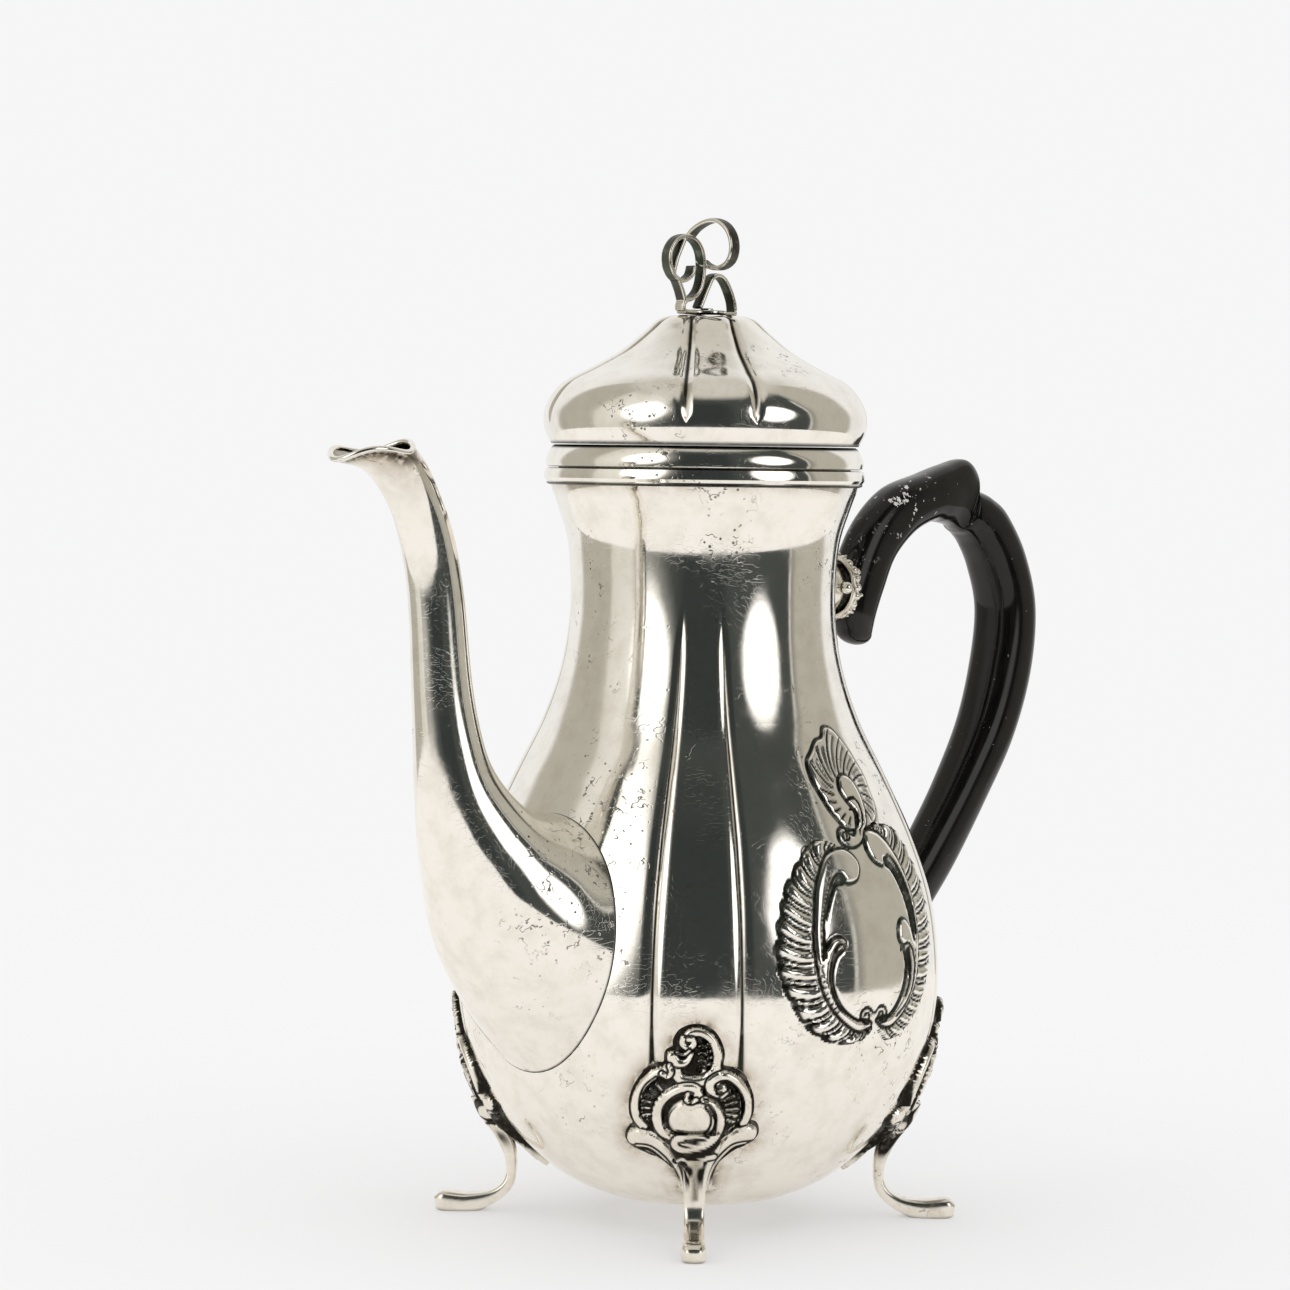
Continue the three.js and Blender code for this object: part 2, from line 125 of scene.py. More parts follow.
FINIAL_PLATE = [(1.6, 226.3), (4.6, 226.3), (4.9, 226.5), (4.9, 226.9), (4.6, 227.1), (1.6, 227.1)]
FINIAL_NUT = [(1.6, 221.6), (3.4, 221.6), (3.4, 224.6), (1.6, 224.6)]


# ---- Curves ----

def curve(points, where):
    """A Catmull-Rom curve through the points, read at parameters from 0 to 1."""
    knots = np.asarray(points, float)
    last = len(knots) - 1
    place = np.clip(np.asarray(where, float), 0, 1) * last
    i = place.astype(int)
    t = (place - i)[..., None]
    before, here = knots[np.maximum(i - 1, 0)], knots[i]
    after, beyond = knots[np.minimum(i + 1, last)], knots[np.minimum(i + 2, last)]
    leave, arrive = (after - before) / 2, (beyond - here) / 2
    cubic = 2 * here - 2 * after + leave + arrive
    square = -3 * here + 3 * after - 2 * leave - arrive
    return (cubic * t + square) * t * t + leave * t + here


def smooth_path(points, closed=False, per_knot=8):
    """A dense polyline through the points."""
    points = [tuple(map(float, p)) for p in points]
    if not closed:
        return curve(points, np.linspace(0, 1, per_knot * (len(points) - 1) + 1))
    around = points[-2:] + points + points[:3]
    dense = curve(around, np.linspace(0, 1, per_knot * (len(around) - 1) + 1))
    return dense[2 * per_knot:(2 + len(points)) * per_knot + 1]


def normals_of(outline):
    """Outward unit normals of an [r, z] outline that runs upwards."""
    step = np.gradient(outline, axis=0)
    normal = np.stack([step[:, 1], -step[:, 0]], -1)
    return normal / np.linalg.norm(normal, axis=1, keepdims=True)


def smoothstep(x, low, high):
    t = np.clip((x - low) / (high - low), 0, 1)
    return t * t * (3 - 2 * t)


BODY_TABLE = curve(BODY_OUTLINE, np.linspace(0, 1, 3000))


def body_radius(z):
    return np.interp(z, BODY_TABLE[:, 1], BODY_TABLE[:, 0])


# ---- Meshes ----

def skin(name, rows, loop=False, keep=None, patina_and_shade=None, sharp=None):
    """A closed mesh through rows of points.

    A row of one point is a pole, and a shorter row uses the `keep` columns.
    """
    starts = np.cumsum([0] + [len(row) for row in rows])
    faces = []
    pairs = list(range(len(rows) - 1)) + ([-1] if loop else [])
    for i in pairs:
        low = starts[i] if i >= 0 else starts[len(rows) - 1]
        high = starts[i + 1]
        below, above = len(rows[i]), len(rows[i + 1])
        if below == above:
            a = low + np.arange(below)
            b = high + np.arange(above)
            faces += np.stack([a, np.roll(a, -1), np.roll(b, -1), b], -1).tolist()
        elif below == 1:
            b = high + np.arange(above)
            faces += [[low, q, p] for p, q in zip(b.tolist(), np.roll(b, -1).tolist())]
        elif above == 1:
            a = low + np.arange(below)
            faces += [[p, q, high] for p, q in zip(a.tolist(), np.roll(a, -1).tolist())]
        else:
            faces += fan_strip(low, below, high, above, keep)
    mesh = bpy.data.meshes.new(name)
    mesh.from_pydata((np.concatenate(rows) * MM).tolist(), [], faces)
    return finished(name, mesh, patina_and_shade, sharp)


def fan_strip(low, below, high, above, keep):
    """Faces between a row with every column and a row with only the kept ones."""
    faces = []
    count = len(keep)
    dense = max(below, above)
    for k in range(count):
        first, last = keep[k], keep[(k + 1) % count]
        run = [(first + n) % dense for n in range((last - first) % dense + 1)]
        if below > above:
            faces.append([low + n for n in run] + [high + (k + 1) % count, high + k])
        else:
            faces.append([low + k, low + (k + 1) % count] + [high + n for n in reversed(run)])
    return faces


def finished(name, mesh, patina_and_shade=None, sharp=None):
    """A shaded object from a mesh whose faces all point outwards."""
    shell = bmesh.new()
    shell.from_mesh(mesh)
    if shell.calc_volume(signed=True) < 0:
        bmesh.ops.reverse_faces(shell, faces=shell.faces)
    shell.to_mesh(mesh)
    shell.free()
    mesh.shade_smooth()
    if sharp is not None:
        mesh.set_sharp_from_angle(angle=math.radians(sharp))
    if patina_and_shade is not None:
        give_patina_and_shade(mesh, patina_and_shade)
    piece = bpy.data.objects.new(name, mesh)
    bpy.context.scene.collection.objects.link(piece)
    return piece


def give_attribute(mesh, name, values):
    """A value from 0 to 1 at each vertex, for the materials to read."""
    layer = mesh.attributes.get(name) or mesh.attributes.new(name, "FLOAT", "POINT")
    layer.data.foreach_set("value", np.clip(values, 0, 1).astype(np.float32))


def give_patina_and_shade(mesh, values):
    """How dark each vertex is: tarnish in the crevices, and painted shade along the creases of the body and
    the lid.
    """
    give_attribute(mesh, "patina_and_shade", values)


def grime_line(piece, level, half, amount=0.9):
    """Dirt caught in a joint at one height."""
    values = np.zeros(len(piece.data.vertices), np.float32)
    if "patina_and_shade" in piece.data.attributes:
        piece.data.attributes["patina_and_shade"].data.foreach_get("value", values)
    line = amount * np.exp(-((vertices(piece)[:, 2] - level) / half) ** 2)
    give_patina_and_shade(piece.data, np.maximum(values, line))
    return piece


def vertices(piece):
    """Vertex positions in millimetres."""
    flat = np.zeros(len(piece.data.vertices) * 3, np.float32)
    piece.data.vertices.foreach_get("co", flat)
    return flat.reshape(-1, 3).astype(float) / MM


def settled(piece, sharp=None):
    """The piece with its modifiers turned into plain geometry."""
    graph = bpy.context.evaluated_depsgraph_get()
    mesh = bpy.data.meshes.new_from_object(piece.evaluated_get(graph))
    mesh.name = piece.name
    piece.modifiers.clear()
    piece.data = mesh
    mesh.shade_smooth()
    if sharp is not None:
        mesh.set_sharp_from_angle(angle=math.radians(sharp))
    return piece


def combined(piece, other, operation, sharp=None):
    """The piece joined with, or cut by, another closed mesh, which is used up."""
    modifier = piece.modifiers.new("combined", "BOOLEAN")
    modifier.operation = operation
    modifier.solver = "MANIFOLD"
    modifier.object = other
    settled(piece, sharp)
    bpy.data.objects.remove(other)
    return piece


def fused(name, parts, voxel):
    """Several overlapping closed meshes as one skin."""
    whole = bmesh.new()
    for part in parts:
        whole.from_mesh(part.data)
        bpy.data.objects.remove(part)
    mesh = bpy.data.meshes.new(name)
    whole.to_mesh(mesh)
    whole.free()
    piece = finished(name, mesh)
    remesh = piece.modifiers.new("fused", "REMESH")
    remesh.mode = "VOXEL"
    remesh.voxel_size = voxel * MM
    relax = piece.modifiers.new("relaxed", "SMOOTH")
    relax.factor = 0.5
    relax.iterations = 3
    return settled(piece)


def ring_of(outline, azimuths):
    """Rows of points from an [r, z] outline spun to the azimuths, in radians."""
    return [
        np.stack([r * np.cos(azimuths), r * np.sin(azimuths), np.full_like(azimuths, z)], -1)
        if r > 0 else np.array([[0.0, 0.0, z]])
        for r, z in outline
    ]


def spun(name, outline, count=144, sharp=35):
    """A turned piece from a closed outline. Where it starts and ends on the axis it has poles."""
    azimuths = np.linspace(0, 2 * math.pi, count, endpoint=False)
    on_axis = outline[0][0] == 0 and outline[-1][0] == 0
    return skin(name, ring_of(outline, azimuths), loop=not on_axis, sharp=sharp)


def rod(name, radius, low, high, count=48):
    return spun(name, [(0, low), (radius, low), (radius, high), (0, high)], count)


def loft(stations, places, angles, inset=0, square=1):
    """Points [place, angle, xyz] of a skin lofted in the XZ plane through the stations."""
    data = np.array(stations, float)
    outer = curve(data[:, 0:2], places)
    inner = curve(data[:, 2:4], places)
    width = curve(data[:, 4:5], places)[..., 0] - inset
    middle, half = (outer + inner) / 2, (outer - inner) / 2
    half = half * (1 - inset / np.linalg.norm(half, axis=-1, keepdims=True))
    across = np.sign(np.cos(angles)) * np.abs(np.cos(angles)) ** (1 / square)
    aside = np.sign(np.sin(angles)) * np.abs(np.sin(angles)) ** (1 / square)
    x = middle[..., 0] + half[..., 0] * across
    z = middle[..., 1] + half[..., 1] * across
    return np.stack([x, -aside * width, z], -1)


def crossed(places, angles):
    """The two parameters as grids, a row for each place and a column for each angle."""
    return places[:, None] + 0 * angles, 0 * places[:, None] + angles


# ---- Relief: raised and engraved work drawn in flat [across, up] millimetres ----

def measured(spots, path):
    """Each spot's distance to a path, its length along the path and its side, positive on the left."""
    start, run = path[:-1], np.diff(path, axis=0)
    length = np.linalg.norm(run, axis=1)
    reach = np.concatenate([[0], np.cumsum(length)])
    rel = spots[:, None, :] - start[None]
    t = np.clip((rel * run).sum(-1) / (length ** 2 + 1e-12), 0, 1)
    gap = rel - t[..., None] * run
    distance = np.hypot(gap[..., 0], gap[..., 1])
    k = distance.argmin(1)
    n = np.arange(len(spots))
    cross = run[k, 0] * rel[n, k, 1] - run[k, 1] * rel[n, k, 0]
    return distance[n, k], reach[k] + t[n, k] * length[k], np.sign(cross)


def inside(spots, outline):
    """Which spots a closed outline holds."""
    x, y = spots[:, 0:1], spots[:, 1:2]
    a, b = outline[:-1], outline[1:]
    crosses = (a[:, 1] > y) != (b[:, 1] > y)
    rise = np.where(b[:, 1] == a[:, 1], 1e-9, b[:, 1] - a[:, 1])
    return (crosses & (x < (b[:, 0] - a[:, 0]) * (y - a[:, 1]) / rise + a[:, 0])).sum(1) % 2 == 1


class Relief:
    """Height and tarnish over a set of spots, built up element by element."""

    def __init__(self, across, up):
        self.spots = np.stack([across.ravel(), up.ravel()], -1)
        self.height = np.zeros(len(self.spots))
        self.dark = np.zeros(len(self.spots))

    def _near(self, path, margin):
        low, high = path.min(0) - margin, path.max(0) + margin
        return np.where(((self.spots > low) & (self.spots < high)).all(1))[0]

    def line(self, points, half=0.5, depth=0.25, closed=False, dark=1.0, fade=0.0):
        """An engraved line. It thins to nothing at its end if `fade` is 1."""
        path = smooth_path(points, closed)
        near = self._near(path, half + 0.5)
        distance, reach, _ = measured(self.spots[near], path)
        total = np.linalg.norm(np.diff(path, axis=0), axis=1).sum()
        half = half * (1 - fade * reach / total)
        shape = np.clip(1 - (distance / np.maximum(half, 0.05)) ** 2, 0, 1)
        self.height[near] -= depth * shape
        self.dark[near] = np.maximum(self.dark[near], dark * np.sqrt(shape))

    def ridge(self, points, half, height, edge=0.9, taper=(1, 1)):
        """A rounded moulding laid along a path, standing on what is there, dark where it meets it."""
        path = smooth_path(points)
        near = self._near(path, half + 1)
        distance, reach, _ = measured(self.spots[near], path)
        total = np.linalg.norm(np.diff(path, axis=0), axis=1).sum()
        wide = half * np.interp(reach / total, [0, 0.5, 1], [taper[0], 1, taper[1]])
        shape = np.clip(1 - (distance / wide) ** 2, 0, 1) ** 0.42
        raised = shape > 0
        self.height[near] += height * shape
        clean = np.clip(shape * 2.4 - 0.5, 0, 1)
        self.dark[near] = np.where(raised, self.dark[near] * (1 - clean), self.dark[near])
        rim = np.exp(-((distance - wide) / 0.24) ** 2)
        self.dark[near] = np.maximum(self.dark[near], edge * rim)

    def pillow(self, outline, height, shoulder, edge=1.0):
        """A closed form that swells from its outline, with a dark line round it."""
        path = smooth_path(outline, closed=True)
        near = self._near(path, 1)
        distance, _, _ = measured(self.spots[near], path)
        held = inside(self.spots[near], path)
        swell = np.sqrt(1 - (1 - np.clip(distance / shoulder, 0, 1)) ** 2)
        self.height[near] = np.where(held, self.height[near] + height * swell, self.height[near])
        rim = np.exp(-(distance / 0.45) ** 2)
        self.height[near] -= 0.15 * rim
        self.dark[near] = np.where(held, self.dark[near] * (1 - swell), self.dark[near])
        self.dark[near] = np.maximum(self.dark[near], edge * rim)

    def curl(self, centre, radius, turn_from, turn_by, half=0.4, depth=0.22):
        """An engraved spiral that winds in to its centre. Angles in degrees."""
        angle = np.radians(np.linspace(turn_from, turn_from + turn_by, 9))
        r = np.linspace(radius, radius * 0.28, 9)
        spots = np.stack([centre[0] + r * np.cos(angle), centre[1] + r * np.sin(angle)], -1)
        self.line(spots, half, depth)

    def ruffle(self, inner, outer, pitch, height):
        """Gadroons that stand across the strip between two paths, fat and thin in turn."""
        inner, outer = smooth_path(inner), smooth_path(outer)
        near = self._near(np.concatenate([inner, outer]), 1)
        distance, reach, _ = measured(self.spots[near], inner)
        edges = np.concatenate([inner, outer[::-1], inner[:1]])
        held = inside(self.spots[near], edges)
        width, _, _ = measured(inner, outer)
        lengths = np.concatenate([[0], np.cumsum(np.linalg.norm(np.diff(inner, axis=0), axis=1))])
        t = distance / np.maximum(np.interp(reach, lengths, width), 0.3)
        phase = reach / pitch + 0.7 * t * t
        q = phase % 1
        split = 0.7
        fat = q < split
        lobe = np.where(fat, q / split, (q - split) / (1 - split))
        rise = np.sqrt(np.clip(np.sin(math.pi * lobe), 0, 1)) * np.where(fat, 1, 0.62)
        brink = 0.8 + 0.2 * np.sqrt(np.clip(np.sin(math.pi * q), 0, 1))
        swell = np.clip(1 - np.clip((t - 0.62) / (brink - 0.62), 0, 1) ** 2, 0, 1) ** 0.5
        swell = swell * (0.35 + 0.65 * smoothstep(t, 0.0, 0.6))
        within = held & (t < brink)
        self.height[near] += np.where(within, height * rise * swell, 0)
        gap = np.minimum(lobe, 1 - lobe) * pitch * np.where(fat, split, 1 - split)
        groove = np.exp(-(gap / 0.34) ** 2) * smoothstep(t, 0.02, 0.15)
        vein = np.exp(-((lobe - 0.5) * pitch * split / 0.22) ** 2) * fat * smoothstep(t, 0.1, 0.25)
        vein = vein * (1 - smoothstep(t, 0.55, 0.75))
        contour = np.exp(-((t - brink) * 5 / 0.52) ** 2)
        self.height[near] -= np.where(within, 0.12 * groove + 0.1 * vein, 0)
        shade = np.maximum(np.maximum(groove, 0.7 * vein) * (t < brink), contour)
        shade = np.maximum(shade, np.exp(-(distance / 0.5) ** 2))
        self.dark[near] = np.maximum(self.dark[near], np.where(held, shade, 0))

    def beads(self, points, count, radius):
        """A row of punched dots."""
        for spot in curve(points, np.linspace(0, 1, count)):
            distance = np.hypot(*(self.spots - spot).T)
            mark = np.exp(-(distance / radius) ** 2)
            self.height -= 0.12 * mark
            self.dark = np.maximum(self.dark, 0.85 * mark)


# ---- Cartouche chased on each side of the belly: [towards the handle, up] ----

LEFT_BAND_OUTER = [
    (-10, 95.6), (-13, 92), (-15.5, 87.5), (-17, 82), (-18, 76), (-17.7, 70), (-16, 63), (-12, 57.5),
    (-6.5, 53.6), (-3, 53.4), (-0.5, 54.8),
]
LEFT_BAND_INNER = [
    (-3.4, 56), (-6, 56.2), (-10.5, 59.5), (-12.8, 64), (-13, 68), (-11.6, 71.4), (-9.6, 73), (-8.7, 75),
    (-10.5, 76.5), (-13, 75.6), (-14.6, 74), (-14.6, 79), (-13, 83), (-11, 86.6), (-8, 90), (-5.5, 88.5),
    (-2, 89.3), (-0.3, 92.5), (-1.7, 95.2), (-5, 96.8),
]
RIGHT_BAND_OUTER = [
    (4.8, 100.3), (9, 100), (13, 97), (16.5, 92), (18.8, 86), (19.8, 79), (19.5, 72), (17.5, 64),
    (13, 58), (7, 53.8), (3, 53.8), (0.9, 55.6),
]
RIGHT_BAND_INNER = [
    (3.6, 56.2), (5.6, 56.2), (9, 59), (12, 63.5), (13, 68), (12, 72), (10.2, 74.6), (11, 78.3),
    (13.6, 79), (16, 77), (17.4, 73.6), (17.6, 80), (15.8, 86.4), (13, 91), (9.8, 93.4), (8.6, 91.8),
    (5, 93.6), (3.6, 97.4),
]
LEFT_EDGE = [
    (-7, 98.5), (-10, 100), (-14, 98.5), (-18, 94.5), (-22.5, 90), (-24.6, 86), (-26.8, 80), (-28, 75),
    (-28, 69), (-26.5, 64), (-24, 59.5), (-20, 54.5), (-14, 51), (-8, 50), (-3, 51), (-1, 53),
]
RIGHT_EDGE = [
    (10.5, 102), (13, 103), (18, 101), (22, 97.5), (25, 93), (28, 89.5), (29, 84), (29.5, 77), (28.5, 70),
    (25, 63), (21, 58), (15, 53), (9, 50.2), (4, 50.5), (1.5, 53),
]
SHELL_EDGE = [
    (-1, 101), (-3, 103), (-5, 106), (-6.5, 110), (-7.4, 113), (-7, 117), (-4.5, 119.6), (-2, 122),
    (0.5, 122.8), (2, 125), (5, 124.8), (7.5, 122.5), (9.5, 119.5), (11, 116.5), (12.5, 113), (12.8, 109),
    (13, 106), (12, 103.5), (10, 102), (6, 101),
]
SHELL_HEART = (2.6, 108.5)
SHELL_COMMA = [
    (-0.2, 110), (0.6, 112.6), (3, 113.6), (5.6, 112), (7, 108), (6.6, 103.4), (4, 98.8), (0.6, 96.9),
    (-2.6, 97), (-4.6, 98.6), (-4.2, 100.8), (-2.4, 101.6), (-1, 100.4), (0.6, 99.6), (2.4, 101.8),
    (2.6, 105), (1, 107.4),
]


def cartouche(across, up):
    """Height and tarnish of the chased work on one side of the belly."""
    work = Relief(across, up)
    work.ruffle([(-6, 97.6)] + LEFT_BAND_OUTER, LEFT_EDGE, 4.1, 1.15)
    work.ruffle(RIGHT_BAND_OUTER, RIGHT_EDGE, 4.1, 1.15)
    work.pillow(SHELL_EDGE, 0.75, 2.2)
    shell_ribs(work)
    work.pillow(SHELL_COMMA, 0.55, 1.6)
    work.curl((-2.5, 99.5), 1.5, 60, -470, 0.36)
    work.line([(1.6, 107.6), (3.6, 107.8), (4.8, 105.6), (4.4, 102.6), (2.6, 99.6)], 0.5, 0.25, fade=0.4)
    work.line([(1.4, 105.4), (2.8, 105.4), (3.2, 103.6), (2.4, 101)], 0.4, 0.2, fade=0.4)
    work.pillow(LEFT_BAND_OUTER + LEFT_BAND_INNER, 0.8, 1.7)
    work.pillow(RIGHT_BAND_OUTER + RIGHT_BAND_INNER, 0.8, 1.7)
    leaves(work)
    return work


def shell_ribs(work):
    """Flutes that fan out from the shell's heart to its edge."""
    path = smooth_path(SHELL_EDGE, closed=True)
    held = inside(work.spots, path)
    margin, _, _ = measured(work.spots[held], path)
    rel = work.spots[held] - SHELL_HEART
    radius = np.hypot(rel[:, 0], rel[:, 1])
    angle = np.arctan2(rel[:, 1], rel[:, 0]) + 0.05 * radius
    flutes = 19
    q = (angle * flutes / (2 * math.pi)) % 1
    gap = np.minimum(q, 1 - q) * 2 * math.pi / flutes * radius
    groove = np.exp(-(gap / 0.34) ** 2) * smoothstep(margin, 0.5, 1.2) * smoothstep(radius, 4.2, 5.6)
    hollow = np.exp(-((q - 0.5) / 0.2) ** 2) * smoothstep(margin, 1.2, 2.4) * smoothstep(radius, 5, 7)
    work.height[held] -= 0.3 * groove + 0.3 * hollow
    work.dark[held] = np.maximum(work.dark[held], np.maximum(0.9 * groove, 0.55 * hollow))


def leaves(work):
    """Lines, hollows and punched dots inside the two smooth bands."""
    work.line([(-6.2, 89.4), (-7.4, 90.9), (-9.6, 90), (-12, 86.6), (-14, 82), (-15.2, 76.5), (-15.9, 71)],
              0.5)
    work.line([(-7, 88.9), (-9.4, 88.2), (-11.6, 84.8), (-13.4, 80.4)], 0.85, 0.4, fade=0.75)
    work.beads([(-10.9, 90), (-13, 86.4), (-14.6, 82.4), (-15.7, 78), (-16.3, 72)], 17, 0.44)
    work.line([(-15.2, 71.6), (-14.4, 74.4), (-12.4, 76), (-10.2, 76.2)], 0.42)
    work.line([(-9.4, 74.2), (-11.2, 74.4), (-13, 72.2), (-14.2, 68), (-13.8, 63.4), (-11.4, 59.4),
               (-7, 56.6)], 0.5)
    work.line([(-10.4, 72.9), (-12, 71.8), (-13.3, 68), (-13.1, 64), (-11.8, 61)], 0.8, 0.4, fade=0.7)
    work.beads([(-16.2, 69.5), (-16, 66), (-14.6, 61.8), (-12, 58.6)], 10, 0.42)
    work.curl((-2.6, 56.6), 2.5, 20, 470, 0.45)
    work.line([(9.6, 93.2), (11.2, 94), (13.4, 92.4), (16, 88), (18, 81.5), (18.4, 75)], 0.5)
    work.line([(10.6, 92.2), (12.6, 90.8), (15, 86.4), (16.8, 80.6), (17.5, 75)], 0.8, 0.4, fade=0.7)
    work.beads([(13.4, 90.6), (15.6, 86.4), (17.2, 81), (17.9, 76)], 13, 0.42)
    work.line([(11, 71.6), (12.2, 72.9), (14.2, 72.8), (15.6, 70.8), (16, 67), (14.8, 62.4), (12, 58.8),
               (8, 56)], 0.5)
    work.line([(13.4, 71.6), (14, 68), (13.6, 64), (11.6, 60.4)], 0.85, 0.4, fade=0.6)
    work.beads([(16.9, 71), (16.4, 66), (14.6, 61.6), (11.8, 58.2)], 10, 0.42)
    work.curl((2.9, 56.6), 2.5, 160, -470, 0.45)


# ---- Body ----

CREASE_TOP, CREASE_FOOT = 153, 45
CREASE_BASE = 10.5
BELLY_R = 60
FINE_LOW, FINE_HIGH = 48.5, 127
CARTOUCHE_HALF = 31
# The fine grid under the cartouches: degrees between columns and millimetres between rows.
FINE_COLUMN = 0.43
FINE_ROW = 0.5


def crease_half_angle(z):
    """Degrees from the middle of a leg to the crease on either side of it."""
    return np.interp(z, [CREASE_FOOT, 100, 144, CREASE_TOP], [CREASE_BASE, 10, 8.8, 8])


def crease_depth(offset, z):
    """How deep the body folds in, and the painted shade of the fold, at an offset in millimetres from a
    crease.
    """
    heights = [CREASE_FOOT - 4, CREASE_FOOT, 62, 100, 144, CREASE_TOP]
    depth = np.interp(z, heights, [0, 1.1, 0.95, 0.8, 0.4, 0])
    reach = np.interp(z, heights[1:], [3, 2.6, 2.4, 1.6, 0.8])
    fold = np.clip(1 - np.abs(offset) / reach, 0, 1) ** 1.8
    # Painted shade: a dark line along each crease, fainter towards the top.
    dark = np.exp(-(np.abs(offset) / np.interp(z, [46, 56, 150], [0.8, 0.36, 0.22])) ** 2)
    return depth * fold, dark * (depth > 0.05) * np.interp(z, [60, 120, 153], [1, 0.8, 0.4])


def fold_columns(base, half):
    """Azimuths in degrees whose creases have slid from CREASE_BASE to another half-angle."""
    rel = (base % 90) - 45
    slid = np.interp(rel, [-45, -CREASE_BASE, CREASE_BASE, 45], [-45, -half, half, 45])
    return base + slid - rel, slid


def body_columns():
    """Every column's azimuth in degrees, and the places of those that the plain rows keep."""
    offsets = np.degrees(np.array([0.3, 0.7, 1.2, 1.8, 2.5, 3.3]) / BELLY_R)
    across = np.concatenate([-offsets[::-1], [0], offsets])
    creases = [45 + 90 * k + side * CREASE_BASE + across for k in range(4) for side in (-1, 1)]
    plain = np.arange(0, 360, 3.0)
    creases = np.concatenate(creases)
    plain = plain[[np.abs(creases - p).min() > 1.2 for p in plain]]
    kept = np.sort(np.concatenate([plain, creases]))
    count = 2 * int(CARTOUCHE_HALF / FINE_COLUMN) + 1
    fine = np.concatenate([c + np.linspace(-CARTOUCHE_HALF, CARTOUCHE_HALF, count) for c in (90, 270)])
    fine = fine[[np.abs(kept - f).min() > 0.14 for f in fine]]
    every = np.sort(np.concatenate([kept, fine]))
    return every, np.searchsorted(every, kept)


def body_heights():
    """Rows by distance along the outline: fine where the cartouches are."""
    steps = np.linalg.norm(np.diff(BODY_TABLE, axis=0), axis=1)
    length = np.concatenate([[0], np.cumsum(steps)])
    low, high = np.interp([FINE_LOW, FINE_HIGH], BODY_TABLE[:, 1], length)
    rows = [
        (np.linspace(0, low, 26, endpoint=False), False),
        (np.linspace(low, high, int((high - low) / FINE_ROW), endpoint=False), True),
        (np.linspace(high, length[-1], 34), False),
    ]
    return [(s, fine) for places, fine in rows for s in places], length


def body():
    every, keep = body_columns()
    table, length = body_heights()
    normal = normals_of(BODY_TABLE)
    rows, dark = [], []
    spots, index = [], []
    for s, fine in table:
        r, z = (np.interp(s, length, BODY_TABLE[:, k]) for k in (0, 1))
        out, up = (np.interp(s, length, normal[:, k]) for k in (0, 1))
        base = every if fine else every[keep]
        azimuth, rel = fold_columns(base, crease_half_angle(z))
        offset = np.radians(np.abs(rel) - crease_half_angle(z)) * r
        fold, shade = crease_depth(offset, z)
        rows.append((r, z, out, up, np.radians(azimuth), -fold))
        dark.append(shade)
        if fine:
            index.append(len(rows) - 1)
    raise_cartouches(rows, dark, index)
    outer = []
    for r, z, out, up, azimuth, height in rows:
        radius = r + out * height
        outer.append(np.stack([radius * np.cos(azimuth), radius * np.sin(azimuth), z + up * height], -1))
    inner_outline = BODY_TABLE - normal * WALL
    inner_outline = inner_outline[np.linspace(len(inner_outline) - 1, 0, 46).astype(int)]
    lip = curve(BODY_OUTLINE, 1.0)
    rounding = [(lip[0] - 0.25, lip[1] + 0.25), (lip[0] - WALL + 0.25, lip[1] + 0.25)]
    plain = np.radians(every[keep])
    rest = ring_of(rounding, plain) + ring_of(inner_outline, plain)
    patina_and_shade = np.concatenate(dark + [np.full(len(keep), 0.25)] * len(rest))
    piece = skin("body", outer + rest, loop=True, keep=keep.tolist(), patina_and_shade=patina_and_shade, sharp=50)
    x, y, z = vertices(piece).T
    give_attribute(piece.data, "tarnish", body_tarnish(np.degrees(np.arctan2(y, x)), np.hypot(x, y), z))
    return piece


def body_tarnish(azimuth, radius, z):
    """Brown bloom round each shield, at the belly's foot and under the band, and brown darkening on either
    side of each crease.
    """
    rel = (azimuth % 90) - 45
    across = np.radians(rel) * radius
    bloom = np.zeros(len(z))
    near = (z < 66) & (np.abs(across) < 26)
    edge = smooth_path(PLAQUE_EDGE, closed=True)
    distance, _, _ = measured(np.stack([across[near], z[near]], -1), edge)
    bloom[near] = 0.74 * np.exp(-(distance / 3.6) ** 2)
    # Brown darkening on either side of each crease.
    crease = np.radians(np.abs(rel) - crease_half_angle(z)) * radius
    bloom = np.maximum(bloom, 0.35 * np.exp(-(crease / 1.6) ** 2) * (z < 150))
    bloom = np.maximum(bloom, 0.6 * np.exp(-((z - 6) / 4) ** 2))
    return np.maximum(bloom, 0.5 * np.exp(-((z - 183.5) / 1.8) ** 2))


def raise_cartouches(rows, dark, index):
    """Adds both cartouches to the fine rows. They mirror each other across the XZ plane."""
    for centre, hand in ((270, 1), (90, -1)):
        places, across, up = [], [], []
        for i in index:
            r, z, _, _, azimuth, _ = rows[i]
            u = hand * ((np.degrees(azimuth) - centre + 180) % 360 - 180)
            held = np.abs(u) < CARTOUCHE_HALF
            places.append(held)
            across.append(np.radians(u[held]) * r)
            up.append(np.full(held.sum(), z))
        work = cartouche(np.concatenate(across), np.concatenate(up))
        start = 0
        for i, held in zip(index, places):
            stop = start + held.sum()
            rows[i][5][held] += work.height[start:stop]
            dark[i][held] = np.maximum(dark[i][held], work.dark[start:stop])
            start = stop


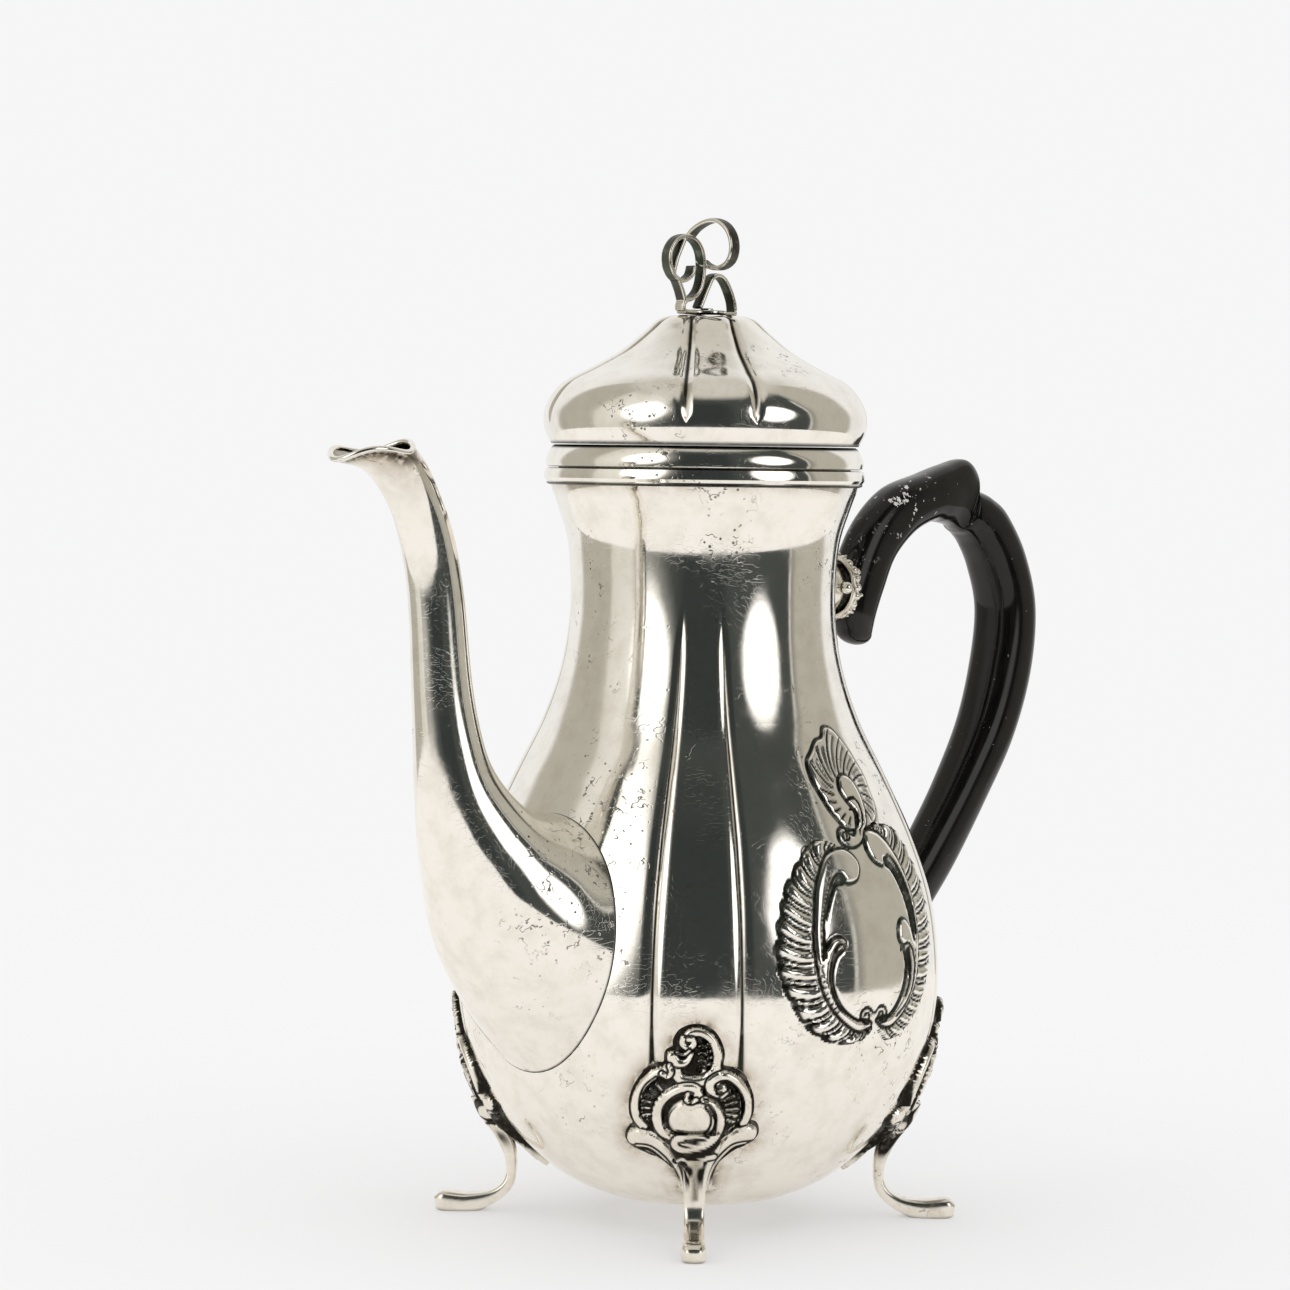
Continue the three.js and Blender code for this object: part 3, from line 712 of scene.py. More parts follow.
def strainer(piece):
    """Drills the hexagonal patch of holes behind the spout."""
    drills = []
    for row in range(-STRAINER_RINGS, STRAINER_RINGS + 1):
        count = 2 * STRAINER_RINGS + 1 - abs(row)
        for i in range(count):
            y = (i - (count - 1) / 2) * STRAINER_PITCH
            drill = rod("drill", STRAINER_HOLE_R, -72, -45, 20)
            turn = Matrix.Rotation(math.pi / 2, 4, "Y")
            place = Vector((0, y, STRAINER_Z + row * STRAINER_PITCH * math.sin(math.pi / 3))) * MM
            drill.data.transform(Matrix.Translation(place) @ turn)
            drills.append(drill)
    whole = bmesh.new()
    for drill in drills:
        whole.from_mesh(drill.data)
        bpy.data.objects.remove(drill)
    mesh = bpy.data.meshes.new("drills")
    whole.to_mesh(mesh)
    whole.free()
    return combined(piece, finished("drills", mesh), "DIFFERENCE", 50)


# ---- Spout ----

def spout_wave(places, angles):
    return -SPOUT_WAVE * np.cos(3 * angles) * smoothstep(places, 0.9, 1.0)


def spout_points(places, angles, inset):
    spots = loft(SPOUT_STATIONS, places, angles, inset)
    spots[..., 2] += spout_wave(places, angles)
    return spots


def leaves_body(angles, inset, sink):
    """Where each column of the spout comes out of the body's wall."""
    places = np.linspace(0, 0.6, 500)
    spots = spout_points(*crossed(places, angles), inset)
    gap = np.hypot(spots[..., 0], spots[..., 1]) - body_radius(spots[..., 2]) + sink
    last = len(places) - 1 - (gap[::-1] < 0).argmax(0)
    n = np.arange(len(angles))
    before, after = gap[last, n], gap[last + 1, n]
    return places[last] + (places[1] - places[0]) * before / (before - after)


def spout():
    angles = np.linspace(0, 2 * math.pi, 96, endpoint=False)
    start = leaves_body(angles, 0, 0.15)
    start_inside = leaves_body(angles, WALL, 0.15)
    steps = np.linspace(0, 1, 150)
    out = start + (1 - start) * steps[:, None]
    back = start_inside + (1 - start_inside) * steps[::-2, None]
    grid = spout_points(out, np.broadcast_to(angles, out.shape), 0)
    lining = spout_points(back, np.broadcast_to(angles, back.shape), WALL)
    run = np.linalg.norm(np.diff(grid, axis=0), axis=-1)
    run = np.concatenate([np.zeros((1, len(angles))), np.cumsum(run, axis=0)])
    seam = np.exp(-(run / 0.75) ** 2)
    rows = np.concatenate([grid, lining]) * (-1, -1, 1)
    patina_and_shade = np.concatenate([seam, np.full(back.shape, 0.35)]).ravel()
    piece = skin("spout", list(rows), loop=True, patina_and_shade=patina_and_shade, sharp=60)
    spots = vertices(piece)
    near = spots[:, 0] < -88
    lip = lip_edge(-0.9)[::4]
    distance = np.full(len(spots), 99.0)
    distance[near] = np.linalg.norm(spots[near][:, None] - lip, axis=2).min(axis=1)
    give_patina_and_shade(piece.data, np.maximum(patina_and_shade, 0.95 * np.exp(-(distance / 0.75) ** 2)))
    bloom = 0.5 * np.exp(-(distance / 11) ** 2) + 0.3 * np.exp(-(distance / 2) ** 2)
    give_attribute(piece.data, "tarnish", bloom)
    return piece


def lip_edge(raise_by):
    """The wavy edge of the spout's mouth as a closed path, seen on the -X side."""
    angles = np.linspace(0, 2 * math.pi, 144, endpoint=False)
    spots = spout_points(np.ones_like(angles), angles, WALL / 2)
    spots[:, 2] += raise_by
    return spots * (-1, -1, 1)


def tube(name, path, radius, count=14, sharp=None):
    """A wire along a closed path."""
    along = np.roll(path, -1, axis=0) - np.roll(path, 1, axis=0)
    along /= np.linalg.norm(along, axis=1, keepdims=True)
    side = np.cross(along, (0, 0, 1))
    side /= np.linalg.norm(side, axis=1, keepdims=True)
    up = np.cross(side, along)
    angles = np.linspace(0, 2 * math.pi, count, endpoint=False)
    rows = [
        spot + radius * (np.cos(angles)[:, None] * s + np.sin(angles)[:, None] * u)
        for spot, s, u in zip(path, side, up)
    ]
    return skin(name, rows, loop=True, sharp=sharp)


# ---- Handle, sockets and pins ----

def to_socket(piece, socket):
    """Turns a piece built along +Z from the origin to lie along a socket's axis."""
    x, z, tilt = socket
    turn = Matrix.Rotation(math.pi / 2 - tilt, 4, "Y")
    piece.data.transform(Matrix.Translation(Vector((x, 0, z)) * MM) @ turn)
    return piece


def across_socket(piece):
    """Turns a piece built along +Z to lie across a socket's axis, where the pin goes."""
    place = Matrix.Translation(Vector((0, 0, PIN_ALONG)) * MM)
    piece.data.transform(place @ Matrix.Rotation(math.pi / 2, 4, "X"))
    return piece


def pin_drill():
    return across_socket(rod("drill", PIN_R + CLEARANCE, -30, 30, 20))


def handle():
    """A carved loop with soft ridges along it, cut back to its sockets, with a tenon in each."""
    angles = np.linspace(0, 2 * math.pi, 72, endpoint=False)
    places = np.linspace(0, 1, 260)
    grid = loft(HANDLE_STATIONS, *crossed(places, angles), square=HANDLE_SQUARE)
    middle = grid.mean(axis=1, keepdims=True)
    caps = []
    for end, last in ((0, 1), (-1, -2)):
        outwards = (middle[end] - middle[last]) / np.linalg.norm(middle[end] - middle[last])
        turns = np.radians([12, 25, 38, 50, 62, 73, 83])
        caps.append([
            middle[end] + (grid[end] - middle[end]) * math.cos(a) + outwards * HANDLE_END * math.sin(a)
            for a in turns
        ])
        caps[-1].append(middle[end] + outwards * HANDLE_END)
    rows = caps[0][::-1] + list(grid) + caps[1]
    loop = skin("handle_loop", rows, sharp=50)
    for socket in (UPPER_SOCKET, LOWER_SOCKET):
        room = to_socket(rod("room", BEAD_RING_R + 3, -9, SOCKET_DEPTH + CLEARANCE), socket)
        loop = combined(loop, room, "DIFFERENCE")
        tenon = to_socket(rod("tenon", TENON_R, SOCKET_BORE_START + CLEARANCE, 23), socket)
        loop = combined(loop, tenon, "UNION")
        loop = combined(loop, to_socket(pin_drill(), socket), "DIFFERENCE", 40)
    return loop


def socket_cup(name, socket):
    outside = smooth_path(SOCKET_CUP, per_knot=8)
    outline = [(0, outside[0][1])] + [tuple(p) for p in outside]
    outline += [(SOCKET_BORE_R, SOCKET_DEPTH), (SOCKET_BORE_R, SOCKET_BORE_START), (0, SOCKET_BORE_START)]
    cup = combined(spun(name, outline, 96, 40), pin_drill(), "DIFFERENCE", 40)
    return to_socket(cup, socket)


def ball(name, radius, centre, rings=10, count=16):
    turns = np.linspace(-math.pi / 2, math.pi / 2, rings + 1)
    outline = [
        (radius * math.cos(a) if 0 < i < rings else 0, radius * math.sin(a)) for i, a in enumerate(turns)
    ]
    piece = spun(name, outline, count, None)
    piece.data.transform(Matrix.Translation(Vector(centre) * MM))
    return piece


def bead_ring(name, socket):
    """Beads on a wire round the socket's mouth, a second wire below, and crumbs of solder on top."""
    height = SOCKET_DEPTH - 0.8
    random = np.random.default_rng(11)
    around = np.linspace(0, 2 * math.pi, BEAD_COUNT, endpoint=False)
    parts = [
        ball("bead", BEAD_R, (BEAD_RING_R * math.cos(a), BEAD_RING_R * math.sin(a), height)) for a in around
    ]
    fine = np.linspace(0, 2 * math.pi, 120, endpoint=False)
    for radius, wire, up in ((BEAD_RING_R, 0.6, height), (BEAD_RING_R + 0.3, 0.6, height - 1.5)):
        path = np.stack([radius * np.cos(fine), radius * np.sin(fine), np.full_like(fine, up)], -1)
        parts.append(tube("wire", path, wire))
    for a in random.uniform(0, 2 * math.pi, CRUMB_COUNT):
        far = BEAD_RING_R + random.uniform(-0.2, 1.1)
        crumb = (far * math.cos(a), far * math.sin(a), height + random.uniform(0.2, 1.1))
        parts.append(ball("solder_crumb", random.uniform(0.35, 0.7), crumb, 6, 8))
    return to_socket(fused(name, parts, 0.14), socket)


def pin(name, socket):
    length = SOCKET_CUP[2][0] + 0.4
    parts = [rod("shank", PIN_R, -length, length, 20)]
    parts += [ball("head", 1.6, (0, 0, side * length), 8, 16) for side in (-1, 1)]
    piece = parts[0]
    for head in parts[1:]:
        piece = combined(piece, head, "UNION", 40)
    piece.name = name
    return to_socket(across_socket(piece), socket)


# ---- Legs ----

PLAQUE_EDGE = [
    (-2.6, 13), (-3.6, 17), (-5, 20), (-8, 22.6), (-12, 24), (-15.2, 25.6), (-16.4, 27.6), (-15.6, 29.8),
    (-14.4, 31), (-15.4, 34), (-15.2, 38), (-13.4, 42.2), (-10.4, 45.2), (-7.2, 46.6), (-6.8, 49.4),
    (-5, 50.6), (-4.8, 52.6), (-3.2, 54.8), (0, 55.7), (3, 54.8), (5, 52.4), (6, 49.4), (5.8, 46.2),
    (8, 45.2), (11, 43), (13, 39), (13.3, 35), (12.6, 32.2), (14.2, 31.2), (14.6, 29), (13, 27),
    (9.4, 25.4), (5.6, 22), (3.8, 17.6), (2.8, 13),
]
# Width of the solder round the shield, and how far its scrolls can stand out.
SOLDER = 1.2
PLAQUE_RELIEF = 1.5
PLAQUE_STEP, PLAQUE_QUICK_STEP = 0.3, 0.5


def plaque_work(across, up):
    """The rocaille on a leg's shield, as height over the body and tarnish."""
    work = Relief(across, up)
    edge = smooth_path(PLAQUE_EDGE, closed=True)
    distance, _, _ = measured(work.spots, edge)
    held = inside(work.spots, edge)
    fillet = (distance < SOLDER) & ~held
    x, z = work.spots.T
    dome = np.clip(1 - ((x + 0.7) / 16) ** 2 - ((z - 33) / 15) ** 2, 0, 1)
    ground = 0.6 + 1.6 * dome
    rim = np.sqrt(1 - (1 - np.clip(distance / 1.1, 0, 1)) ** 2)
    work.height = np.where(held, ground * rim, 0)
    work.dark = np.where(held, 0.58, np.exp(-(distance / 0.8) ** 2))
    feathers(work)
    top_scroll(work)
    side_scrolls(work)
    heart(work)
    roots(work)
    proud = work.height - ground * rim
    work.height = ground * rim + PLAQUE_RELIEF * np.tanh(proud / PLAQUE_RELIEF)
    spread = np.clip(distance / SOLDER, 0, 1)
    work.height = np.where(held, work.height, np.where(fillet, 0.55 * (1 - spread) ** 1.5 - 0.12, -0.7))
    work.dark = np.where(fillet, 1 - 0.5 * spread, work.dark)
    return work, held | fillet


def top_scroll(work):
    work.ridge([(-2.3, 53.3), (-0.9, 54.7), (1.4, 54.7), (3.8, 53), (5, 50.2), (5.1, 47.2), (3.9, 44.6),
                (1.4, 43), (-1.6, 42.9), (-3.9, 43.6), (-4.6, 45.2)], 1.45, 1.7, taper=(0.9, 0.9))
    work.ridge([(-3.2, 53.2), (-3.3, 51.8), (-2, 50.9), (-0.7, 51.6), (-0.8, 52.8), (-1.8, 53)], 0.85, 1.6)
    work.ridge([(1.2, 52.4), (2.4, 50.6), (2.6, 48.4), (1.6, 46.6), (0.3, 45.6)], 0.32, 1.1)
    for lift in (51.6, 49.8, 48, 46.6):
        work.ridge([(0.4, lift - 0.5), (1.5, lift), (2.4, lift - 0.6)], 0.34, 0.8)
    work.ridge([(-6, 48.6), (-4.4, 47.2), (-2.4, 47.4), (-0.9, 49.6)], 1.05, 1.5, taper=(1.5, 0.5))
    work.ridge([(-4.6, 49.6), (-2.8, 49.2), (-1.6, 50.2)], 0.5, 1.1)


def feathers(work):
    """Short strokes inside the top scroll."""
    for k in range(5):
        up = 51.8 - 1.5 * k
        far = 2.7 + 1.0 * math.sin(math.pi * (k + 0.6) / 5)
        work.ridge([(far, up), (far - 1, up - 0.3), (far - 1.9, up - 1.1)], 0.55, 1.1, 0.6, taper=(1, 0.5))


def side_scrolls(work):
    work.ridge([(-6.9, 45.9), (-9.4, 45), (-12.3, 42.4), (-14.2, 38.8), (-14.3, 35.2), (-13.4, 32.6),
                (-11.9, 30.8)],
               1.4, 1.5, taper=(1, 0.8))
    work.ridge([(-6.2, 46.4), (-5.7, 44.8), (-6.6, 43.7), (-7.9, 44.4)], 0.75, 1.3)
    work.ridge([(-9.2, 43.3), (-11.6, 41), (-12.7, 37.8), (-12.3, 34.6), (-10.9, 32.4)], 0.34, 0.7)
    for step in range(6):
        turn = math.radians(128 + 13 * step)
        near = (-4 + 5.8 * math.cos(turn), 35.4 + 5.8 * math.sin(turn))
        far = (-4 + 8.6 * math.cos(turn), 35.4 + 8.2 * math.sin(turn))
        work.ridge([near, far], 0.5, 0.9)
    work.ridge([(5.7, 39.6), (4.5, 39.9), (3.2, 41), (3.5, 42.8), (5.6, 44.1), (8.2, 43.9), (10.9, 41.4),
                (12.3, 37.8), (12.1, 34.4), (11, 32)], 1.35, 1.5, taper=(0.8, 0.8))
    work.ridge([(5.3, 40.2), (6.6, 40.6), (6.3, 41.8), (5.2, 41.8)], 0.7, 1.2)
    work.ridge([(8.2, 41.6), (10, 39), (10.4, 35.6), (9.6, 32.6), (7.6, 30)], 0.34, 0.7)
    for step in range(6):
        turn = math.radians(-28 + 14 * step)
        near = (2.4 + 4.6 * math.cos(turn), 35.6 + 4.8 * math.sin(turn))
        far = (2.4 + 7.4 * math.cos(turn), 35.6 + 7 * math.sin(turn))
        work.ridge([near, far], 0.5, 0.9)


def heart(work):
    """The domed boss and the scrolls round it."""
    x, z = work.spots.T
    round_boss = 1 - ((x + 0.8) / 5.6) ** 2 - ((z - 33.4) / 5.2) ** 2
    boss = np.clip(round_boss, 0, 1) ** 0.5
    work.height += 1.9 * boss
    work.dark = np.where(round_boss > 0, work.dark * (1 - np.clip(boss * 2.2 - 0.2, 0, 1)), work.dark)
    work.ridge([(0.3, 38.6), (0.6, 40.2), (-0.8, 41.3), (-3.6, 41), (-6.6, 39.2), (-8.6, 36.2),
                (-8.7, 32.6), (-7.4, 29.8), (-5.2, 28.6)], 1.3, 1.9, taper=(0.9, 1))
    work.ridge([(0.1, 38.2), (-1.2, 37.6), (-2.3, 38.4), (-1.8, 39.6)], 0.7, 1.7)
    work.ridge([(1.8, 38.2), (4, 37.4), (5.6, 34.4), (5.4, 30.8), (3.2, 27.6), (0.4, 26), (-2.6, 25.4),
                (-4.4, 26.6), (-3.9, 28.2), (-2.2, 28.4)], 1.15, 1.9, taper=(0.8, 0.9))
    work.ridge([(2.6, 36.4), (3.8, 34.2), (3.7, 31.4), (2.2, 29), (0.6, 27.8)], 0.45, 1.7)
    work.ridge([(-1.4, 27.6), (-1.9, 26.7), (-2.9, 26.9)], 0.5, 1.4)


def roots(work):
    """The two lobes at the bottom, and the flutes that run from them down the strap."""
    work.ridge([(-14.5, 27.9), (-12, 28), (-9, 26.8), (-6.4, 24.2), (-4.6, 20.6), (-3, 13)], 1.35, 1.4,
               taper=(1.8, 0.7))
    work.ridge([(-13.6, 25.4), (-10.4, 25.2), (-7.4, 22.8), (-5.2, 19.4), (-3.9, 15.4)], 0.5, 1.1)
    work.ridge([(-11.4, 24.3), (-8.4, 22.6), (-6, 19.6)], 0.36, 0.8)
    work.ridge([(12.8, 29.5), (10, 28.8), (6.9, 26.6), (4.2, 23), (2.8, 19), (2, 13)],
               1.25, 1.4, taper=(1.8, 0.7))
    work.ridge([(11.6, 26.7), (8.6, 26), (5.8, 23), (3.9, 19.4), (3, 15)], 0.5, 1.1)
    work.ridge([(-4.3, 21.8), (-2.6, 22.9), (-1.4, 21.4), (-1.3, 18.6), (-1, 15)], 0.6, 1.1)
    work.ridge([(4, 23.6), (1.9, 22.8), (0.7, 20), (0.4, 15.6)], 0.65, 1.1, taper=(1.4, 0.8))
    work.ridge([(-2.4, 20.4), (-2.2, 17.6), (-1.9, 14.6)], 0.4, 0.8)
    work.ridge([(-0.2, 22), (-0.4, 18.4), (-0.5, 13.4)], 0.8, 1.0)


def plaque(step):
    """A slab over the body whose face carries the rocaille and whose edges sink into the wall."""
    across = np.arange(-17.5, 15.5 + step, step)
    up = np.arange(13, 56.5 + step, step)
    x, z = np.meshgrid(across, up)
    work, held = plaque_work(x, z)
    height = work.height.reshape(x.shape)
    keep = held.reshape(x.shape)
    keep[1:, :] |= keep[:-1, :]
    keep[:-1, :] |= keep[1:, :]
    keep[:, 1:] |= keep[:, :-1]
    keep[:, :-1] |= keep[:, 1:]
    used = keep[:-1, :-1] & keep[1:, :-1] & keep[:-1, 1:] & keep[1:, 1:]
    normal = normals_of(BODY_TABLE)
    radius = body_radius(z)
    out = np.interp(z, BODY_TABLE[:, 1], normal[:, 0])
    tilt = np.interp(z, BODY_TABLE[:, 1], normal[:, 1])

    def lifted(by):
        angle = x / radius
        r = radius + out * by
        return np.stack([r * np.cos(angle), r * np.sin(angle), z + tilt * by], -1).reshape(-1, 3)

    spots = np.concatenate([lifted(height), lifted(np.full_like(height, -1.0))])
    return slab("plaque", spots, used, x.shape)


def slab(name, spots, used, shape):
    """A closed slab from a front and a back grid, over the used cells."""
    lower = shape[0] * shape[1]
    index = np.arange(lower).reshape(shape)
    corners = np.stack([index[:-1, :-1], index[:-1, 1:], index[1:, 1:], index[1:, :-1]], -1)
    front = corners[used]
    back = front[:, ::-1] + lower
    faces = front.tolist() + back.tolist()
    edges = {}
    for face in front.tolist():
        for a, b in zip(face, face[1:] + face[:1]):
            if (b, a) in edges:
                del edges[(b, a)]
            else:
                edges[(a, b)] = True
    faces += [[b, a, a + lower, b + lower] for a, b in edges]
    mesh = bpy.data.meshes.new(name)
    mesh.from_pydata((spots * MM).tolist(), [], faces)
    whole = bmesh.new()
    whole.from_mesh(mesh)
    bmesh.ops.delete(whole, geom=[v for v in whole.verts if not v.link_faces], context="VERTS")
    whole.to_mesh(mesh)
    whole.free()
    return finished(name, mesh)


def strap():
    """The leg below its shield: a flat-backed C that ends in a rolled toe."""
    angles = np.linspace(0, 2 * math.pi, 40, endpoint=False)
    places = np.linspace(0, 1, 120)
    grid = loft(LEG_STRAP, *crossed(places, angles), square=LEG_SQUARE)
    grid[..., 2] = np.maximum(grid[..., 2], 0)
    rows = [grid[0].mean(axis=0, keepdims=True)] + list(grid) + [grid[-1].mean(axis=0, keepdims=True)]
    return skin("strap", rows)


def leg():
    step = PLAQUE_STEP
    whole = combined(strap(), plaque(step), "UNION", 60)
    spots = vertices(whole)
    x, y, z = spots.T
    work, held = plaque_work(np.arctan2(y, x) * body_radius(z), z)
    low = np.hypot(x, y) - body_radius(z) > -0.4
    fade = smoothstep(z, 13, 19)
    dark = np.where(held & low, work.dark * fade, 0) + 0.12
    give_patina_and_shade(whole.data, dark)
    return whole


# ---- Lid ----

LID_CREASE_AZIMUTH = 50.7
LID_CREASE_HALF = 13
LID_HOLE_R = 1.6


def lid_dome():
    table = curve(LID_OUTLINE, np.linspace(0, 1, 1500))
    normal = normals_of(table)
    offsets = np.degrees(np.array([0.25, 0.6, 1.0, 1.5, 2.1]) / 38)
    across = np.concatenate([-offsets[::-1], [0], offsets])
    creases = np.concatenate([
        45 + 90 * k + side * LID_CREASE_HALF + across for k in range(4) for side in (-1, 1)
    ])
    plain = np.arange(0, 360, 2.5)
    plain = plain[[np.abs(creases - p).min() > 1 for p in plain]]
    base = np.sort(np.concatenate([plain, creases]))
    rows, dark, brown = [], [], []
    for i in np.linspace(0, len(table) - 1, 110).astype(int):
        (r, z), (out, up) = table[i], normal[i]
        half = math.degrees(math.asin(np.interp(r, [5, 9, 12, 39], [3, 4, 4.9, 8.8]) / r))
        rel = (base % 90) - 45
        slid = np.interp(rel, [-45, -LID_CREASE_HALF, LID_CREASE_HALF, 45], [-45, -half, half, 45])
        offset = np.radians(np.abs(slid) - half) * r
        reach = np.interp(z, [198.6, 201, 208, 218, 225.8], [0.01, 1.7, 2.1, 1.8, 1.5])
        depth = np.interp(z, [198.6, 200.5, 206, 218, 225.8], [0, 0.8, 1.0, 0.9, 0.7])
        fold = depth * np.clip(1 - np.abs(offset) / reach, 0, 1) ** 1.4
        azimuth = np.radians(base + slid - rel + LID_CREASE_AZIMUTH - 45)
        radius = r - out * fold
        rows.append(np.stack([radius * np.cos(azimuth), radius * np.sin(azimuth), z - up * fold], -1))
        # Painted shade along each crease: a thin dark line, and a broader brown band in the tarnish
        # attribute.
        strength = np.interp(z, [201, 207, 214], [0.2, 1, 0.85]) * (depth > 0.05)
        dark.append(strength * np.exp(-(offset / 0.5) ** 2))
        brown.append(0.85 * strength * np.exp(-(offset / 1.1) ** 2))
    plain_azimuths = np.radians(base + LID_CREASE_AZIMUTH - 45)
    inside_line = (table - normal * LID_WALL)[np.linspace(len(table) - 1, 0, 40).astype(int)]
    rest = ring_of([(LID_HOLE_R, LID_TOP_Z), (LID_HOLE_R, LID_TOP_Z - LID_WALL)], plain_azimuths)
    rest += ring_of(inside_line, plain_azimuths)
    patina_and_shade = np.concatenate(dark + [np.full(len(base), 0.2)] * len(rest))
    piece = skin("lid_dome_silver", rows + rest, loop=True, patina_and_shade=patina_and_shade, sharp=50)
    give_attribute(piece.data, "tarnish", np.concatenate(brown + [np.zeros(len(base))] * len(rest)))
    return grime_line(piece, LID_OUTLINE[0][1], 0.8, 0.6)


# ---- Finial: flat ribbon bent into scrolls ----

RIBBON_WIDTH, RIBBON_THICK = 3.4, 1.15
SPOUT_SIDE, HANDLE_SIDE, FRONT_SIDE = math.pi, 0, -math.pi / 2
# Paths in a vertical plane: [out from the axis, up].
FOOT_ARCH = [
    (-3.4, 227.7), (-2.4, 229.6), (-0.6, 233), (1, 235.4), (3.2, 236), (5.4, 234.9), (7.2, 232.4),
    (8.5, 229.6), (8.9, 227.4),
]
FOOT_BAR = [(-9, 226.7), (-4, 226.6), (0, 226.6), (4, 226.6), (9.2, 226.7)]
FRONT_LOOP = [
    (9.2, 226.9), (9.2, 228.4), (8.4, 229.4), (6.4, 229.9), (4.4, 231.2), (2.9, 233.8), (2.3, 237.8),
    (2.9, 241.6), (5, 244.3), (8.4, 245.3), (11.8, 244.2), (14, 241.2), (13.9, 237.6), (12, 235),
    (9.2, 234.3), (6.6, 235.6), (5.6, 238),
]
FRONT_STRUT = [(8.6, 228.6), (9.6, 231.4), (10.6, 233.4), (11.4, 234.8)]
FRONT_BRACE = [(12.9, 236), (11.8, 239.4), (10.4, 242.2), (9, 244.8)]
TOP_LOOP = [
    (-6.8, 245.2), (-4.2, 247.5), (-0.6, 249.1), (3, 249.5), (6.4, 248.2), (8.7, 245.6), (9.4, 242.4),
    (8.4, 239.5), (5.8, 237.9), (2.8, 237.7), (0.3, 238.4), (-1.4, 239.4),
]


def ribbon(points, azimuth, count=120):
    """A strip of rounded flat wire bent in the vertical plane at an azimuth."""
    middle = curve(points, np.linspace(0, 1, count))
    step = np.gradient(middle, axis=0)
    step /= np.linalg.norm(step, axis=1, keepdims=True)
    turns = np.linspace(0, 2 * math.pi, 28, endpoint=False)
    thick = np.sign(np.cos(turns)) * np.abs(np.cos(turns)) ** 0.6 * RIBBON_THICK / 2
    wide = np.sign(np.sin(turns)) * np.abs(np.sin(turns)) ** 0.45 * RIBBON_WIDTH / 2
    out = np.array([math.cos(azimuth), math.sin(azimuth), 0])
    side = np.array([-math.sin(azimuth), math.cos(azimuth), 0])
    rows = []
    for (u, z), (du, dz) in zip(middle, step):
        across = dz * out + np.array([0, 0, -du])
        rows.append(u * out + np.array([0, 0, z]) + thick[:, None] * across + wide[:, None] * side)
    rows = [rows[0].mean(axis=0, keepdims=True)] + rows + [rows[-1].mean(axis=0, keepdims=True)]
    return skin("ribbon", rows)


def finial_scrolls():
    strips = [
        (FOOT_ARCH, HANDLE_SIDE), (FOOT_BAR, HANDLE_SIDE),
        (FRONT_LOOP, SPOUT_SIDE), (FRONT_STRUT, SPOUT_SIDE), (FRONT_BRACE, SPOUT_SIDE),
        (TOP_LOOP, FRONT_SIDE),
    ]
    parts = [rod("stem", 1.6, 226.6, 227.7, 24)] + [ribbon(*strip) for strip in strips]
    piece = fused("finial_ribbons", parts, 0.16)
    give_patina_and_shade(piece.data, strip_patina(piece, strips))
    return piece


def strip_patina(piece, strips):
    """Tarnish on the ribbon's flats, most inside each bend. The rims and the spout side's foot are bright."""
    spots = vertices(piece)
    facing = np.empty(len(spots) * 3, np.float32)
    piece.data.vertices.foreach_get("normal", facing)
    facing = facing.reshape(-1, 3)
    nearest = np.full(len(spots), np.inf)
    dark = np.zeros(len(spots))
    for points, azimuth in strips:
        middle = curve(points, np.linspace(0, 1, 60))
        out = np.array([math.cos(azimuth), math.sin(azimuth), 0])
        side = np.array([-math.sin(azimuth), math.cos(azimuth), 0])
        flat = spots - (spots @ side)[:, None] * side
        path = middle[:, :1] * out + middle[:, 1:] * np.array([0, 0, 1])
        distance = np.linalg.norm(flat[:, None] - path, axis=2).min(axis=1) + np.abs(spots @ side) * 0.2
        inner = ((path.mean(axis=0) - flat) * facing).sum(axis=1) > 0
        rim = smoothstep(np.abs(spots @ side), RIBBON_WIDTH / 2 - 0.5, RIBBON_WIDTH / 2 - 0.2)
        value = np.where(inner, 1.0, 0.6) * (1 - rim)
        closer = distance < nearest
        dark[closer] = value[closer]
        nearest[closer] = distance[closer]
    foot = (spots[:, 0] < -8) & (spots[:, 2] < 229.4)
    return np.where(foot, 0, dark)


# ---- Materials ----

